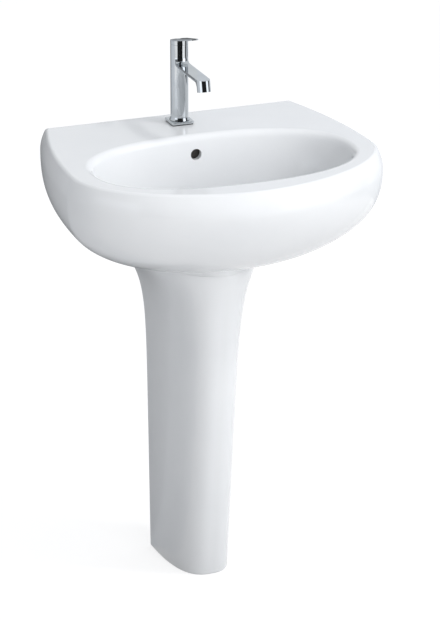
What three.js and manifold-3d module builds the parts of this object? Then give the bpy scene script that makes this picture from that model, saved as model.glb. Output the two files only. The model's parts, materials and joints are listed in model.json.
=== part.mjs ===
// Pedestal wash basin with a single-lever mixer, a click-clack waste and a bottle trap.
// Millimetres. +X is to the right seen from the front, +Y towards the wall, +Z up.
// The origin is on the floor, midway across the basin and midway between wall and front edge.

import * as THREE from "three";
import { mergeVertices } from "three/addons/utils/BufferGeometryUtils.js";
import Module from "manifold-3d";

const wasm = await Module();
wasm.setup();

// ---------------------------------------------------------------- driving dimensions

const clearance = 0.3; // left between pieces that seat on one another
const cutMargin = 1; // how far a cutter runs past the face that it opens
const flatness = 0.01; // faces that depart less than this from one plane are merged

// Basin, seen from above: a straight back against the wall, bowed sides and a round front.
const rimHeight = 850;
const basinDepth = 490; // wall to the foremost point
const rimHalfWidth = 288; // at the widest point of the rim
const backHalfWidth = 241.5; // at the wall
const widestFromWall = 289;
const frontRoundness = 1.83; // superellipse exponent of the round front

// Basin, seen from the side: the wall bulges below the rim, then sweeps under to the neck.
const bulge = 12;
const bulgeDrop = 40;
const bodyDrop = 197; // rim to the flat underside
const undersideHalfWidth = 110;
const undersideFront = 241; // front edge of the flat underside, from the wall
const undersideBow = 0.03; // the underside's edge keeps this share of the rim's bow
const sideSweep = [2.8, 1.37]; // exponents of the side's sweep
const frontSweep = [1.3, 3.3]; // exponents of the front's sweep
const skinThickness = 9;
const backWallThickness = 14;
const deckThickness = 14;
const rimEdge = 1.5; // small chamfer round the rim's outer edge

// Bowl: an oval mouth that narrows to a round drain seat nearer the wall.
const bowlHalfWidth = 250;
const bowlBack = 135; // back edge of the mouth, from the wall
const bowlFront = 459; // front edge of the mouth, from the wall
const bowlDepth = 148;
const bowlSideCurve = [2.4, 2.2];
const bowlBackCurve = [1.3, 2];
const bowlFrontCurve = [2, 2];
const bowlShell = 9;
const lipRadius = 9;

// Overflow: a round hole in the back of the bowl and a cast duct down to the drain.
const overflowRadius = 10.5;
const overflowDrop = 38;
const ductWidth = 40;
const ductGap = 9;

// Drain
const drainFromWall = 200;
const drainHoleRadius = 23;
const drainSeatRadius = 33.5;
const drainSeatDepth = 3;
const drainBossRadius = 38;
const drainBossHeight = 28;

// Wall fixings
const fixingSpacing = 280;
const fixingDrop = 85;
const fixingHoleRadius = 8;
const accessHalfWidth = 105; // opening in the back wall for the fitter and the pipes
const accessDrop = 50;
const boltRadius = 5;
const boltLength = 42;

// Pedestal: a D-shaped column, open behind, that flares out under the basin.
const collarHeight = 25; // the basin's own neck above the pedestal
const neckFlareHeight = 5; // how far up the neck the pedestal's flare goes on
const pedestalFromWall = 51;
const footHalfWidth = 61.4;
const footDepth = 165;
const topExtraWidth = 7.4; // the even taper, from foot to top
const topExtraDepth = 78;
const flareWidth = 67.8; // how much wider the flare is at the top
const flareLength = 46;
const footSquareness = 2.74; // superellipse exponent of the D
const topSquareness = 1.8;
const pedestalWall = 13;
const pedestalLip = 14; // returned edge either side of the open back
const pedestalBackThickness = 14;
const footEdge = 3;

// Mixer tap
const tapFromWall = 56;
const tapHoleRadius = 17.5;
const tapPlateSize = 43;
const tapPlateThickness = 4.5;
const tapGasketThickness = 1.2;
const columnRadius = 16.5;
const columnFootFlare = 1.6;
const tapSocketDepth = 14; // threaded holes for the stud and the two inlet tails
const headHeight = 152; // deck to the outer edge of the head
const waistRadius = 14.6; // the head's hollowed front, between the spout's edges
const waistHeight = 142; // deck to the waist's narrowest point
const spoutTop = 118; // deck to the spout's flat top
const spoutWidth = 25;
const spoutThickness = 13;
const spoutReach = 123;
const spoutFillet = 22; // how far the hollowed front sweeps out on to the spout
const outletDrop = 23;
const outletTilt = 13; // degrees, the outlet leans forward
const leverBackHeight = 156.5; // deck to the lever's top, at the back
const leverSlope = 14.6; // degrees, closed
const leverReach = 82;
const leverTipWidth = 16;
const leverThickness = 3.6;
const leverSkirt = 3; // how far the lever's round root comes down over the head
const leverTipThickness = 2.6;
const leverLift = 20; // degrees

// Cartridge
const cartridgeRadius = 12.8;
const cartridgeHeight = 21.9;
const cartridgeWall = 2.2;
const cartridgeFloor = 2.5;
const fixedDiscThickness = 2.7;
const movingDiscThickness = 3.6;
const movingDiscRadius = 8.6;
const discRecess = 0.7; // water turns over in a recess under the moving disc
const sealThickness = 1.5;
const cartridgeNutHeight = 5.7;
const stemWidth = 6;
const stemArm = 6.1; // pivot to the ball that drives the moving disc
const stemBall = 1.6;
const pivotPinRadius = 1.5;
const stemHub = 7; // square hub round the pivot pin
const stemShankStart = 4; // above the pivot
const slotPlayAcross = 0.8; // play of the stem in the carrier's slot
const slotPlayAlong = 2.2;
const grubScrewRadius = 1.25;
const grubScrewLength = 4.8;
const bossRadius = 8.5;
const portRadius = 2.4;
const recessHalf = [5.5, 4, 3]; // half width, then reach forwards and backwards
const nutBoreInset = 3.8;
const inletOffset = [6.2, 4.5]; // the two inlets, from the tap's axis
const outletPortOffset = -6;
const channelRadius = 3.5;

// Tap fixing
const studRadius = 4;
const studOffset = -9;
const studLength = 64;
const tailRadius = 5;
const tailBore = 3.2;
const tailLength = 62;
const tailCollarRadius = 6.8;
const horseshoeRadius = 22;
const horseshoeSlot = { halfWidth: 12.5, front: -1.8 };
const fixingNutSize = 13; // across flats
const fixingNutHeight = 8;
const tailCollarHeight = 10;
const tailStagger = 14; // the second inlet tail is longer by this
const rubberThickness = 3;
const steelThickness = 2;

// Aerator
const aeratorRadius = 9.9;
const aeratorWall = 1.7;
const aeratorLength = 9.6;
const aeratorLip = 0.4; // recess of the housing in the outlet
const aeratorSeat = 2; // depth of the washer behind the housing
const jetRadius = 1.3;
const jetCircle = 4.6;
const jetCount = 6;

// Waste
const flangeRadius = 31.5;
const flangeThickness = 2.5;
const wasteSealThickness = 1.5;
const flangeTubeRadius = 17.4;
const flangeTubeWall = 2;
const flangeTubeLength = 46;
const tailPieceRadius = 20.7;
const tailPieceLength = 88;
const slotHeight = 9;
const slotHalfWidth = 7;
const gasketHeight = 9;
const gasketWall = 8;
const wasteNutHeight = 10;
const wasteNutSize = 60; // across flats
const plugRadius = 30;
const plugThickness = 5;
const plugLift = 8;
const plugStemRadius = 3.5;
const plugTailRadius = 1.4; // the stem's thin tail inside the spring
const plugCollar = { radius: 5, height: 3, drop: 8 }; // drop is from the guide's top
const guideRadius = 8;
const guideHeight = 30;
const guideFloor = 2;
const guideWall = 1.8;
const guideTop = -8; // from the drain's seat
const ribHalfWidth = 1.2;
const ribHeight = 12;
const springWire = 0.6;
const springTurns = 4;
const springRadius = 3.6;

// Trap
const pipeRadius = 16;
const pipeWall = 1.5;
const pipeFlange = 1.8; // thickness
const sealWidth = 3; // each trap seal, along its pipe
const nutLip = 2.5; // each collar nut's end wall
const slipNutRadius = 27;
const slipNutHeight = 20;
const trapRadius = 33;
const trapWall = 2.5;
const trapDrop = 80; // end of the tail piece to the top of the bottle
const bottleHeight = 74;
const trapNeckRadius = 22;
const trapNeckHeight = 14;
const cupRadius = 36;
const cupHeight = 54;
const branchRadius = 20;
const branchDrop = 26;
const collarNutRadius = 26;
const collarNutHeight = 16;
const rosetteRadius = 36;
const rosetteDepth = 11;

// ---------------------------------------------------------------- derived places

const rimFront = basinDepth - bulge;
const underside = rimHeight - bodyDrop;
const pedestalHeight = underside - collarHeight;
const fromWall = (distance) => basinDepth / 2 - distance; // a distance from the wall, as y
const radians = THREE.MathUtils.degToRad;
const largeSegments = 24;
const segments = 20;
const smallSegments = 10;

// ---------------------------------------------------------------- materials

function finish(color, roughness, metalness) {
  return new THREE.MeshStandardMaterial({ color, roughness, metalness });
}

const glaze = finish(0xf1f2f1, 0.08, 0);
const chrome = finish(0xd6dade, 0.06, 1);
const brass = finish(0xb5923f, 0.35, 1);
const steel = finish(0xb4b7ba, 0.3, 1);
const rubber = finish(0x1d1e20, 0.8, 0);
const whitePlastic = finish(0xe7e8e6, 0.4, 0);
const greyPlastic = finish(0x7e848a, 0.5, 0);
const technicalCeramic = finish(0xe4e0d6, 0.25, 0);

// ---------------------------------------------------------------- solids

// A closed geometry as a solid that can be joined and cut.
function solid(geometry) {
  const bare = geometry.clone();
  bare.deleteAttribute("normal");
  bare.deleteAttribute("uv");
  const merged = mergeVertices(bare, 1e-4);
  return new wasm.Manifold(new wasm.Mesh({
    numProp: 3,
    vertProperties: new Float32Array(merged.attributes.position.array),
    triVerts: new Uint32Array(merged.index.array),
  }));
}

function geometryOf(shape) {
  const mesh = shape.simplify(flatness).getMesh();
  const geometry = new THREE.BufferGeometry();
  geometry.setAttribute("position", new THREE.BufferAttribute(mesh.vertProperties, 3));
  geometry.setIndex(new THREE.BufferAttribute(mesh.triVerts, 1));
  geometry.computeVertexNormals();
  return geometry;
}

function joined(...shapes) {
  return shapes.reduce((sum, shape) => sum.add(shape));
}

function cut(shape, ...cutters) {
  return cutters.reduce((rest, cutter) => rest.subtract(cutter), shape);
}

// A rectangular block between two corners.
function block(low, high) {
  const geometry = new THREE.BoxGeometry(high[0] - low[0], high[1] - low[1], high[2] - low[2]);
  geometry.translate((low[0] + high[0]) / 2, (low[1] + high[1]) / 2, (low[2] + high[2]) / 2);
  return solid(geometry);
}

// An upright round bar from one height to another.
function rod(radius, low, high, { x = 0, y = 0, sides = segments } = {}) {
  const geometry = new THREE.CylinderGeometry(radius, radius, high - low, sides);
  geometry.rotateX(Math.PI / 2);
  geometry.translate(x, y, (low + high) / 2);
  return solid(geometry);
}

// A round bar along Y.
function rodAlongY(radius, low, high, { x = 0, z = 0, sides = segments } = {}) {
  const geometry = new THREE.CylinderGeometry(radius, radius, high - low, sides);
  geometry.translate(x, (low + high) / 2, z);
  return solid(geometry);
}

// A round bar along X.
function rodAlongX(radius, low, high, { y = 0, z = 0, sides = segments } = {}) {
  const geometry = new THREE.CylinderGeometry(radius, radius, high - low, sides);
  geometry.rotateZ(Math.PI / 2);
  geometry.translate((low + high) / 2, y, z);
  return solid(geometry);
}

// A profile of [radius, height] pairs, turned round Z. It starts and ends on the axis, or it
// is closed here into a ring.
function turned(profile, sides = segments) {
  const points = profile.map(([radius, height]) => new THREE.Vector2(radius, height));
  if (profile[0][0] > 0) {
    points.push(points[0].clone());
  }
  const geometry = new THREE.LatheGeometry(points, sides);
  geometry.rotateX(Math.PI / 2);
  return solid(geometry);
}

function ring(inner, outer, low, high, sides = segments) {
  return turned([[inner, low], [outer, low], [outer, high], [inner, high]], sides);
}

// An outline in X and Y, raised from one height to another.
function prism(shape, low, high, curveSegments = 8) {
  const depth = high - low;
  const geometry = new THREE.ExtrudeGeometry(shape, { depth, bevelEnabled: false, curveSegments });
  geometry.translate(0, 0, low);
  return solid(geometry);
}

// An outline in Y and Z, drawn out along X.
function prismAlongX(shape, low, high, curveSegments = 8) {
  const depth = high - low;
  const geometry = new THREE.ExtrudeGeometry(shape, { depth, bevelEnabled: false, curveSegments });
  const [x, y, z] = [new THREE.Vector3(1, 0, 0), new THREE.Vector3(0, 1, 0), new THREE.Vector3(0, 0, 1)];
  geometry.translate(0, 0, low);
  geometry.applyMatrix4(new THREE.Matrix4().makeBasis(y, z, x));
  return solid(geometry);
}

// An outline in X and Z, drawn out along Y.
function prismAlongY(shape, low, high, curveSegments = 8) {
  const depth = high - low;
  const geometry = new THREE.ExtrudeGeometry(shape, { depth, bevelEnabled: false, curveSegments });
  const [x, y, z] = [new THREE.Vector3(1, 0, 0), new THREE.Vector3(0, -1, 0), new THREE.Vector3(0, 0, 1)];
  geometry.translate(0, 0, -high);
  geometry.applyMatrix4(new THREE.Matrix4().makeBasis(x, z, y));
  return solid(geometry);
}

function polygon(points) {
  return new THREE.Shape(points.map(([a, b]) => new THREE.Vector2(a, b)));
}

// A skin through rings of points, each ring anticlockwise from above and the lowest first,
// with a flat cap at both ends that fans out from its middle.
function loft(rings) {
  const count = rings[0].length;
  const top = (rings.length - 1) * count;
  const total = (ring) => ring.reduce((sum, point) => sum.add(point), new THREE.Vector3());
  const middle = (ring) => total(ring).divideScalar(count);
  const points = [...rings.flat(), middle(rings[0]), middle(rings.at(-1))];
  const index = [];
  for (let i = 0; i < count; i += 1) {
    const after = (i + 1) % count;
    for (let level = 0; level < top; level += count) {
      const here = level + i;
      const next = level + after;
      index.push(here, next, next + count, here, next + count, here + count);
    }
    index.push(after, i, top + count, top + i, top + after, top + count + 1);
  }
  const geometry = new THREE.BufferGeometry().setFromPoints(points);
  geometry.setIndex(index);
  return solid(geometry);
}

function hexNut(acrossFlats, bore, low, high) {
  const corner = acrossFlats / Math.sqrt(3);
  const outline = new THREE.Shape();
  for (let i = 0; i < 6; i += 1) {
    const angle = (i / 6) * Math.PI * 2;
    outline[i === 0 ? "moveTo" : "lineTo"](corner * Math.cos(angle), corner * Math.sin(angle));
  }
  const hole = new THREE.Path().absarc(0, 0, bore, 0, Math.PI * 2);
  outline.holes.push(hole);
  return prism(outline, low, high, smallSegments);
}

function roundedSquare(size, corner) {
  const half = size / 2;
  const inner = half - corner;
  const outline = new THREE.Shape();
  outline.moveTo(half, -inner);
  outline.absarc(inner, inner, corner, 0, Math.PI / 2);
  outline.absarc(-inner, inner, corner, Math.PI / 2, Math.PI);
  outline.absarc(-inner, -inner, corner, Math.PI, Math.PI * 1.5);
  outline.absarc(inner, -inner, corner, Math.PI * 1.5, Math.PI * 2);
  return outline;
}

function piece(group, name, shape, material) {
  const mesh = new THREE.Mesh(geometryOf(shape), material);
  mesh.name = name;
  group.add(mesh);
  return mesh;
}

const sink = new THREE.Group();

// A quarter superellipse: its two coordinates at a share of the way round.
function quarter(share, exponent) {
  const angle = (share * Math.PI) / 2;
  return [Math.cos(angle) ** (2 / exponent), Math.sin(angle) ** (2 / exponent)];
}

// How far a swept surface still stands out, at a share of its height.
function sweep(share, [first, second]) {
  return (1 - share ** first) ** (1 / second);
}

// The full ring at one height from its right half, which runs from the wall to the front
// as pairs of half width and distance from the wall.
function mirrored(half, height) {
  const left = half.map(([x, distance]) => new THREE.Vector3(-x, fromWall(distance), height));
  const right = half.slice(0, -1).reverse();
  return [...left, ...right.map(([x, distance]) => new THREE.Vector3(x, fromWall(distance), height))];
}

// ---------------------------------------------------------------- pedestal

function pedestalSize(height) {
  const flare = Math.exp((height - pedestalHeight) / flareLength);
  const share = height / pedestalHeight;
  return {
    halfWidth: footHalfWidth + topExtraWidth * share + flareWidth * flare,
    depth: footDepth + topExtraDepth * share,
    squareness: footSquareness + (topSquareness - footSquareness) * flare,
  };
}

// The D-shaped outline at one height, drawn in by a wall.
function pedestalRing(height, wall, back, steps) {
  const { halfWidth, depth, squareness } = pedestalSize(height);
  const half = [];
  for (let i = 0; i <= steps; i += 1) {
    const [across, forward] = quarter(i / steps, squareness);
    const reach = depth - wall - (back - pedestalFromWall);
    half.push([(halfWidth - wall) * across, back + reach * forward]);
  }
  return half;
}

// The slot that leaves the D open behind, between its returned edges.
function backSlotRing(height) {
  const halfWidth = pedestalSize(height).halfWidth - pedestalWall - pedestalLip;
  const front = pedestalFromWall + pedestalBackThickness + cutMargin;
  return [[halfWidth, pedestalFromWall - cutMargin], [halfWidth, front], [0, front]];
}

function levels(low, high, shares) {
  return shares.map((share) => low + (high - low) * share);
}

const pedestalShares = [0.16, 0.35, 0.55, 0.68, 0.77, 0.84, 0.89, 0.93, 0.965, 1];
const hollowShares = [0, 0.3, 0.6, 0.77, 0.86, 0.92, 0.965, 1];
const pedestalSteps = 14;
const hollowBack = pedestalFromWall + pedestalBackThickness;

function makePedestal() {
  const outline = (height, inset) => mirrored(
    pedestalRing(height, inset, pedestalFromWall, pedestalSteps), height);
  const rings = [outline(0, footEdge).map((point) => point.setZ(0)), outline(footEdge, 0)];
  levels(0, pedestalHeight, pedestalShares).forEach((height) => rings.push(outline(height, 0)));
  const hollow = levels(-cutMargin, pedestalHeight + cutMargin, hollowShares).map(
    (height) => mirrored(pedestalRing(height, pedestalWall, hollowBack, pedestalSteps - 4), height));
  const slot = levels(-cutMargin, pedestalHeight + cutMargin, hollowShares).map(
    (height) => mirrored(backSlotRing(height), height));
  return cut(loft(rings), loft(hollow), loft(slot));
}

piece(sink, "pedestal", makePedestal(), glaze);

// ---------------------------------------------------------------- basin

// Right half of the rim, from the wall round to the middle of the front.
function rimHalf(sideSteps, frontSteps) {
  const points = [];
  for (let i = 0; i < sideSteps; i += 1) {
    const share = i / sideSteps;
    const width = backHalfWidth + (rimHalfWidth - backHalfWidth) * (1 - (1 - share) ** 2);
    points.push([width, widestFromWall * share]);
  }
  for (let i = 0; i <= frontSteps; i += 1) {
    const [across, forward] = quarter(i / frontSteps, frontRoundness);
    points.push([rimHalfWidth * across, widestFromWall + (rimFront - widestFromWall) * forward]);
  }
  return points;
}

// The basin's outline at a drop below the rim, drawn in by a wall thickness.
function bodyRing(drop, wall, back, rim) {
  const below = Math.max(0, (drop - bulgeDrop) / (bodyDrop - wall - bulgeDrop));
  const above = Math.max(0, 1 - drop / bulgeDrop);
  const out = bulge * (1 - above ** 2) - wall;
  const inwards = Math.max(undersideBow, sweep(below, sideSweep));
  const backwards = Math.max(undersideBow, sweep(below, frontSweep));
  const half = rim.map(([x, distance]) => {
    const forward = Math.max(0, (distance - widestFromWall) / (rimFront - widestFromWall));
    const neck = (undersideHalfWidth * x) / rimHalfWidth;
    const width = neck + (x + out * Math.min(1, x / bulge) - neck) * inwards;
    const reach = Math.max(back, distance + out * forward);
    return [width, Math.min(reach, undersideFront + (reach - undersideFront) * backwards)];
  });
  return mirrored(half, rimHeight - drop);
}

// The bowl's oval at a drop below the rim, grown outwards for its shell.
function bowlRing(drop, grow, steps) {
  const share = Math.min(1, Math.max(0, drop / (bowlDepth + grow)));
  const floor = drainSeatRadius + 1 + grow;
  const blend = (top, bottom, curve) => bottom + (top - bottom) * sweep(share, curve);
  const halfWidth = blend(bowlHalfWidth + grow, floor, bowlSideCurve);
  const back = blend(bowlBack - grow, drainFromWall - floor, bowlBackCurve);
  const front = blend(bowlFront + grow, drainFromWall + floor, bowlFrontCurve);
  const points = [];
  for (let i = 0; i < steps; i += 1) {
    const angle = (i / steps) * Math.PI * 2;
    const y = fromWall((back + front) / 2) + ((front - back) / 2) * Math.sin(angle);
    points.push(new THREE.Vector3(halfWidth * Math.cos(angle), y, rimHeight - drop));
  }
  return points;
}

// The rounded lip where the deck turns down into the bowl.
function lipRing(drop, steps) {
  const share = drop / lipRadius;
  const grow = lipRadius * (1 - Math.sqrt(1 - (1 - share) ** 2));
  return bowlRing(0, grow, steps).map((point) => point.setZ(rimHeight - drop));
}

const bowlFloor = rimHeight - bowlDepth;
const drainY = fromWall(drainFromWall);
const drainSeat = bowlFloor - drainSeatDepth;
const bossBottom = drainSeat - drainBossHeight;

function makeBowlCutter() {
  const steps = 40;
  const drops = levels(0, bowlDepth, [1, 0.98, 0.92, 0.82, 0.69, 0.54, 0.38, 0.2]);
  const rings = drops.map((drop) => bowlRing(drop, 0, steps));
  levels(0, lipRadius, [1, 0.35, 0.07, 0]).forEach((drop) => rings.push(lipRing(drop, steps)));
  const above = lipRing(0, steps).map((point) => point.setZ(rimHeight + cutMargin));
  rings.push(above);
  return loft(rings);
}

// The overflow's L-shaped duct: down behind the bowl, then forward to the drain.
function ductOutline(wall) {
  const back = bowlBack - bowlShell - ductGap - wall;
  const front = bowlBack + wall;
  const top = rimHeight - overflowDrop + overflowRadius + wall;
  const bottom = bossBottom + bowlShell - wall;
  const step = bottom + ductGap + 2 * wall;
  const drain = drainFromWall - drainHoleRadius + cutMargin;
  const points = [[back, top], [back, bottom], [drain, bottom], [drain, step],
    [front - ductGap, step], [front - ductGap, top]];
  return polygon(points.map(([distance, height]) => [fromWall(distance), height]));
}

function makeBasin() {
  const fineRim = rimHalf(6, 13);
  const coarseRim = rimHalf(4, 8);
  const bodyShares = [1, 0.98, 0.94, 0.87, 0.78, 0.67, 0.54, 0.4, 0.28, 0.2, 0.13, 0.06];
  const bodyRings = levels(0, bodyDrop, bodyShares).map((drop) => bodyRing(drop, 0, 0, fineRim));
  bodyRings.push(bodyRing(rimEdge, 0, 0, fineRim));
  bodyRings.push(bodyRing(rimEdge, rimEdge, 0, fineRim).map((point) => point.setZ(rimHeight)));

  // The neck that comes down to the pedestal, with the pedestal's own outline.
  const neckTop = underside + skinThickness / 2;
  const neckHeights = levels(pedestalHeight + clearance, neckTop, [0, 0.3, 0.6, 1]);
  const neckRing = (height, wall, back, steps) => {
    const like = Math.min(height, pedestalHeight + neckFlareHeight);
    return mirrored(pedestalRing(like, wall, back, steps), height);
  };
  const neck = loft(neckHeights.map((height) => neckRing(height, 0, pedestalFromWall, pedestalSteps)));
  const neckHollow = loft([pedestalHeight - cutMargin, neckTop + skinThickness].map(
    (height) => neckRing(height, pedestalWall, hollowBack, pedestalSteps - 4)));
  const neckSlot = loft([pedestalHeight - cutMargin, neckTop].map(
    (height) => mirrored(backSlotRing(Math.min(height, pedestalHeight)), height)));

  // The space between the outer skin and the bowl's shell.
  const cavityDrops = levels(deckThickness, bodyDrop - skinThickness, [1, 0.93, 0.8, 0.62, 0.42, 0.2, 0]);
  const cavity = loft(cavityDrops.map(
    (drop) => bodyRing(drop, skinThickness, backWallThickness, coarseRim)));
  const shellDrops = levels(0, bowlDepth + bowlShell, [1, 0.95, 0.84, 0.68, 0.48, 0.25, 0]);
  const shell = loft(shellDrops.map((drop) => bowlRing(drop, bowlShell, largeSegments)));
  const boss = rod(drainBossRadius, bossBottom, bowlFloor, { y: drainY, sides: largeSegments });
  const ductHalf = ductWidth / 2;
  const ductOuter = prismAlongX(ductOutline(bowlShell), -ductHalf - bowlShell, ductHalf + bowlShell);
  const hollow = cut(cavity, shell, boss, ductOuter);

  const ductInner = prismAlongX(ductOutline(0), -ductHalf, ductHalf);
  const overflow = rodAlongY(overflowRadius, fromWall(bowlBack + bowlShell * 2),
    fromWall(bowlBack - bowlShell - ductGap / 2), { z: rimHeight - overflowDrop });
  const atDrain = { y: drainY, sides: largeSegments };
  const drain = rod(drainHoleRadius, bossBottom - cutMargin, bowlFloor + cutMargin, atDrain);
  const seat = rod(drainSeatRadius, drainSeat, bowlFloor + cutMargin, atDrain);
  const tapHole = rod(tapHoleRadius, rimHeight - deckThickness * 2, rimHeight + cutMargin,
    { y: fromWall(tapFromWall) });
  const access = block(
    [-accessHalfWidth, fromWall(backWallThickness + cutMargin), pedestalHeight],
    [accessHalfWidth, fromWall(-cutMargin), rimHeight - accessDrop]);
  const behindNeck = block(
    [-accessHalfWidth, fromWall(hollowBack + cutMargin), pedestalHeight],
    [accessHalfWidth, fromWall(-cutMargin), underside + skinThickness + cutMargin]);
  const fixingHoles = [-1, 1].map((side) => rodAlongY(
    fixingHoleRadius, fromWall(backWallThickness + cutMargin), fromWall(-cutMargin),
    { x: (side * fixingSpacing) / 2, z: rimHeight - fixingDrop }));
  return cut(joined(loft(bodyRings), neck), hollow, neckHollow, neckSlot, makeBowlCutter(), ductInner,
    overflow, drain, seat, tapHole, access, behindNeck, ...fixingHoles);
}

piece(sink, "basin", makeBasin(), glaze);

// ---------------------------------------------------------------- wall fixings

const fixingZ = rimHeight - fixingDrop;
const bushRadius = fixingHoleRadius - clearance;
const bushCollar = { radius: 12, thickness: 2.5 };
const washer = { radius: 13, thickness: 2 };
const fixingNut = { acrossFlats: 17, thickness: 8 };

// A washer, bush or nut round a bolt that runs along Y, with its axis at the origin.
function facingWall(shape) {
  return shape.rotate([90, 0, 0]);
}

function makeFixing(side, sideName) {
  const group = new THREE.Group();
  group.position.set((side * fixingSpacing) / 2, fromWall(0), fixingZ);
  const bore = boltRadius + clearance;
  const collarStart = backWallThickness + clearance;
  const washerStart = collarStart + bushCollar.thickness + clearance;
  const nutStart = washerStart + washer.thickness + clearance;
  const bolt = turned([[0, clearance], [boltRadius, clearance], [boltRadius, boltLength - 1],
    [boltRadius - 1, boltLength], [0, boltLength]]);
  const bush = turned([[bore, cutMargin], [bushRadius, cutMargin], [bushRadius, collarStart],
    [bushCollar.radius, collarStart], [bushCollar.radius, collarStart + bushCollar.thickness],
    [bore, collarStart + bushCollar.thickness]]);
  const disc = ring(bore, washer.radius, washerStart, washerStart + washer.thickness);
  const nut = hexNut(fixingNut.acrossFlats, bore, nutStart, nutStart + fixingNut.thickness);
  piece(group, `hanger_bolt_${sideName}`, facingWall(bolt), steel);
  piece(group, `fixing_bush_${sideName}`, facingWall(bush), whitePlastic);
  piece(group, `fixing_washer_${sideName}`, facingWall(disc), steel);
  piece(group, `fixing_nut_${sideName}`, facingWall(nut), steel);
  sink.add(group);
}

makeFixing(-1, "left");
makeFixing(1, "right");

// ---------------------------------------------------------------- mixer tap

// Heights in this group count from the deck, and Y from the tap's own axis.
const tap = new THREE.Group();
tap.position.set(0, fromWall(tapFromWall), rimHeight);
sink.add(tap);

const gasketTop = clearance + tapGasketThickness;
const plateTop = gasketTop + clearance + tapPlateThickness;
const columnFoot = plateTop + clearance;
const plateHole = columnRadius - 2;
const borePlay = cartridgeRadius + clearance;
const boreFloor = spoutTop - 2;
const sealTop = boreFloor + clearance + sealThickness;
const shellBottom = sealTop + clearance;
const shellTop = shellBottom + cartridgeHeight;
const fixedDisc = shellBottom + cartridgeFloor + clearance;
const movingDisc = fixedDisc + fixedDiscThickness + clearance;
const movingDiscTop = movingDisc + movingDiscThickness;
const carrierBottom = movingDiscTop + clearance * 2;
const nutBottom = shellTop + clearance;
const stemLean = leverLift / 2; // the closed stem leans forward by half its travel
const leanShift = stemArm * Math.sin(radians(stemLean));
const pivotHeight = movingDiscTop + stemArm * Math.cos(radians(stemLean));
const domeRadius = Math.hypot(columnRadius, headHeight - pivotHeight);
const stemTop = domeRadius - 3; // along the stem, from the pivot
const screwHeight = (headHeight + leverBackHeight) / 2;
const stemBack = stemWidth / 2 / Math.cos(radians(stemLean))
  - Math.tan(radians(stemLean)) * (screwHeight - pivotHeight); // its back face at the screw's height
const shellBore = cartridgeRadius - cartridgeWall;
const carrierRadius = shellBore - clearance;
const ports = [[-inletOffset[0], inletOffset[1]], [inletOffset[0], inletOffset[1]], [0, outletPortOffset]];

// The ball round the pivot, inside which the head stays clear of the tilting lever.
function pivotDome(extra) {
  const geometry = new THREE.SphereGeometry(domeRadius + extra, largeSegments, 16);
  geometry.rotateX(Math.PI / 2);
  geometry.translate(0, 0, pivotHeight);
  return solid(geometry);
}

// A shape drawn round the stem's own axis, with the pivot at height 0, set to its lean.
function onStem(shape) {
  return shape.rotate([stemLean, 0, 0]).translate([0, 0, pivotHeight]);
}

// A shape drawn round the outlet's own axis, with its mouth at height 0.
function onOutlet(shape) {
  return shape.translate([0, 0, -outletDrop]).rotate([-outletTilt, 0, 0])
    .translate([0, -spoutReach, spoutTop]);
}

// The head's hollowed front: a profile turned round the tap's axis, from the spout's top up.
function headFront() {
  const low = spoutTop - cutMargin;
  const reach = columnRadius + spoutFillet - waistRadius;
  const profile = [[0, low], [columnRadius + spoutFillet, low]];
  for (let i = 0; i <= 6; i += 1) {
    const angle = (i / 6) * (Math.PI / 2);
    const height = spoutTop + (waistHeight - spoutTop) * (1 - Math.cos(angle));
    profile.push([waistRadius + reach * (1 - Math.sin(angle)), height]);
  }
  [0.4, 0.7, 1].forEach((share) => profile.push([
    waistRadius + (columnRadius - waistRadius) * share ** 2,
    waistHeight + (headHeight - waistHeight) * share]));
  profile.push([0, headHeight]);
  return turned(profile, largeSegments);
}

function makeTapBody() {
  const flare = columnRadius + columnFootFlare;
  const top = headHeight + leverThickness * 2;
  const column = turned([[0, columnFoot], [flare, columnFoot], [flare, columnFoot + 1.5],
    [columnRadius, columnFoot + 6], [columnRadius, top], [0, top]], largeSegments);

  const halfWidth = spoutWidth / 2;
  const section = new THREE.Shape();
  section.moveTo(halfWidth, spoutTop);
  section.lineTo(-halfWidth, spoutTop);
  section.absellipse(0, spoutTop, halfWidth, spoutThickness, Math.PI, Math.PI * 2);
  const spout = prismAlongY(section, -spoutReach, 0, 6);

  const outletBar = onOutlet(rod(halfWidth, 0, outletDrop + 8, { sides: largeSegments }));
  const aboveSpout = block([-columnRadius, -spoutReach * 1.5, spoutTop],
    [columnRadius, -columnRadius, headHeight]);
  const outlet = cut(outletBar, aboveSpout);

  const front = (low) => block([-halfWidth, -spoutReach, low], [halfWidth, 0, headHeight]);
  const face = headFront();
  const fillet = face.intersect(front(spoutTop - cutMargin));
  const outside = cut(front(spoutTop), face);

  const wide = { sides: largeSegments };
  const bore = rod(borePlay, boreFloor, top + cutMargin, wide);
  const channelHeight = spoutTop - spoutThickness / 2;
  const channel = rodAlongY(channelRadius, -spoutReach, outletPortOffset / 2,
    { z: channelHeight, sides: smallSegments });
  const outletPort = rod(portRadius, channelHeight, boreFloor + cutMargin,
    { y: outletPortOffset, sides: smallSegments });
  const mouth = onOutlet(rod(aeratorRadius + clearance, -cutMargin, aeratorLength + aeratorSeat + 1));
  const socketTop = columnFoot + tapSocketDepth;
  const inlets = ports.slice(0, 2).map(([x, y]) => joined(
    rod(tailRadius + clearance, columnFoot - cutMargin, socketTop, { x, y, sides: smallSegments }),
    rod(tailBore, columnFoot, boreFloor + cutMargin, { x, y, sides: smallSegments })));
  const studHole = rod(studRadius + clearance, columnFoot - cutMargin, socketTop,
    { y: studOffset, sides: smallSegments });
  const underDome = joined(pivotDome(0), block([-columnRadius * 2, -spoutReach * 1.5, 0],
    [columnRadius * 2, columnRadius * 2, pivotHeight]));
  const outer = joined(cut(column, outside), spout, outlet, fillet).intersect(underDome);
  return cut(outer, bore, channel, outletPort, mouth, ...inlets, studHole);
}

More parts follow.
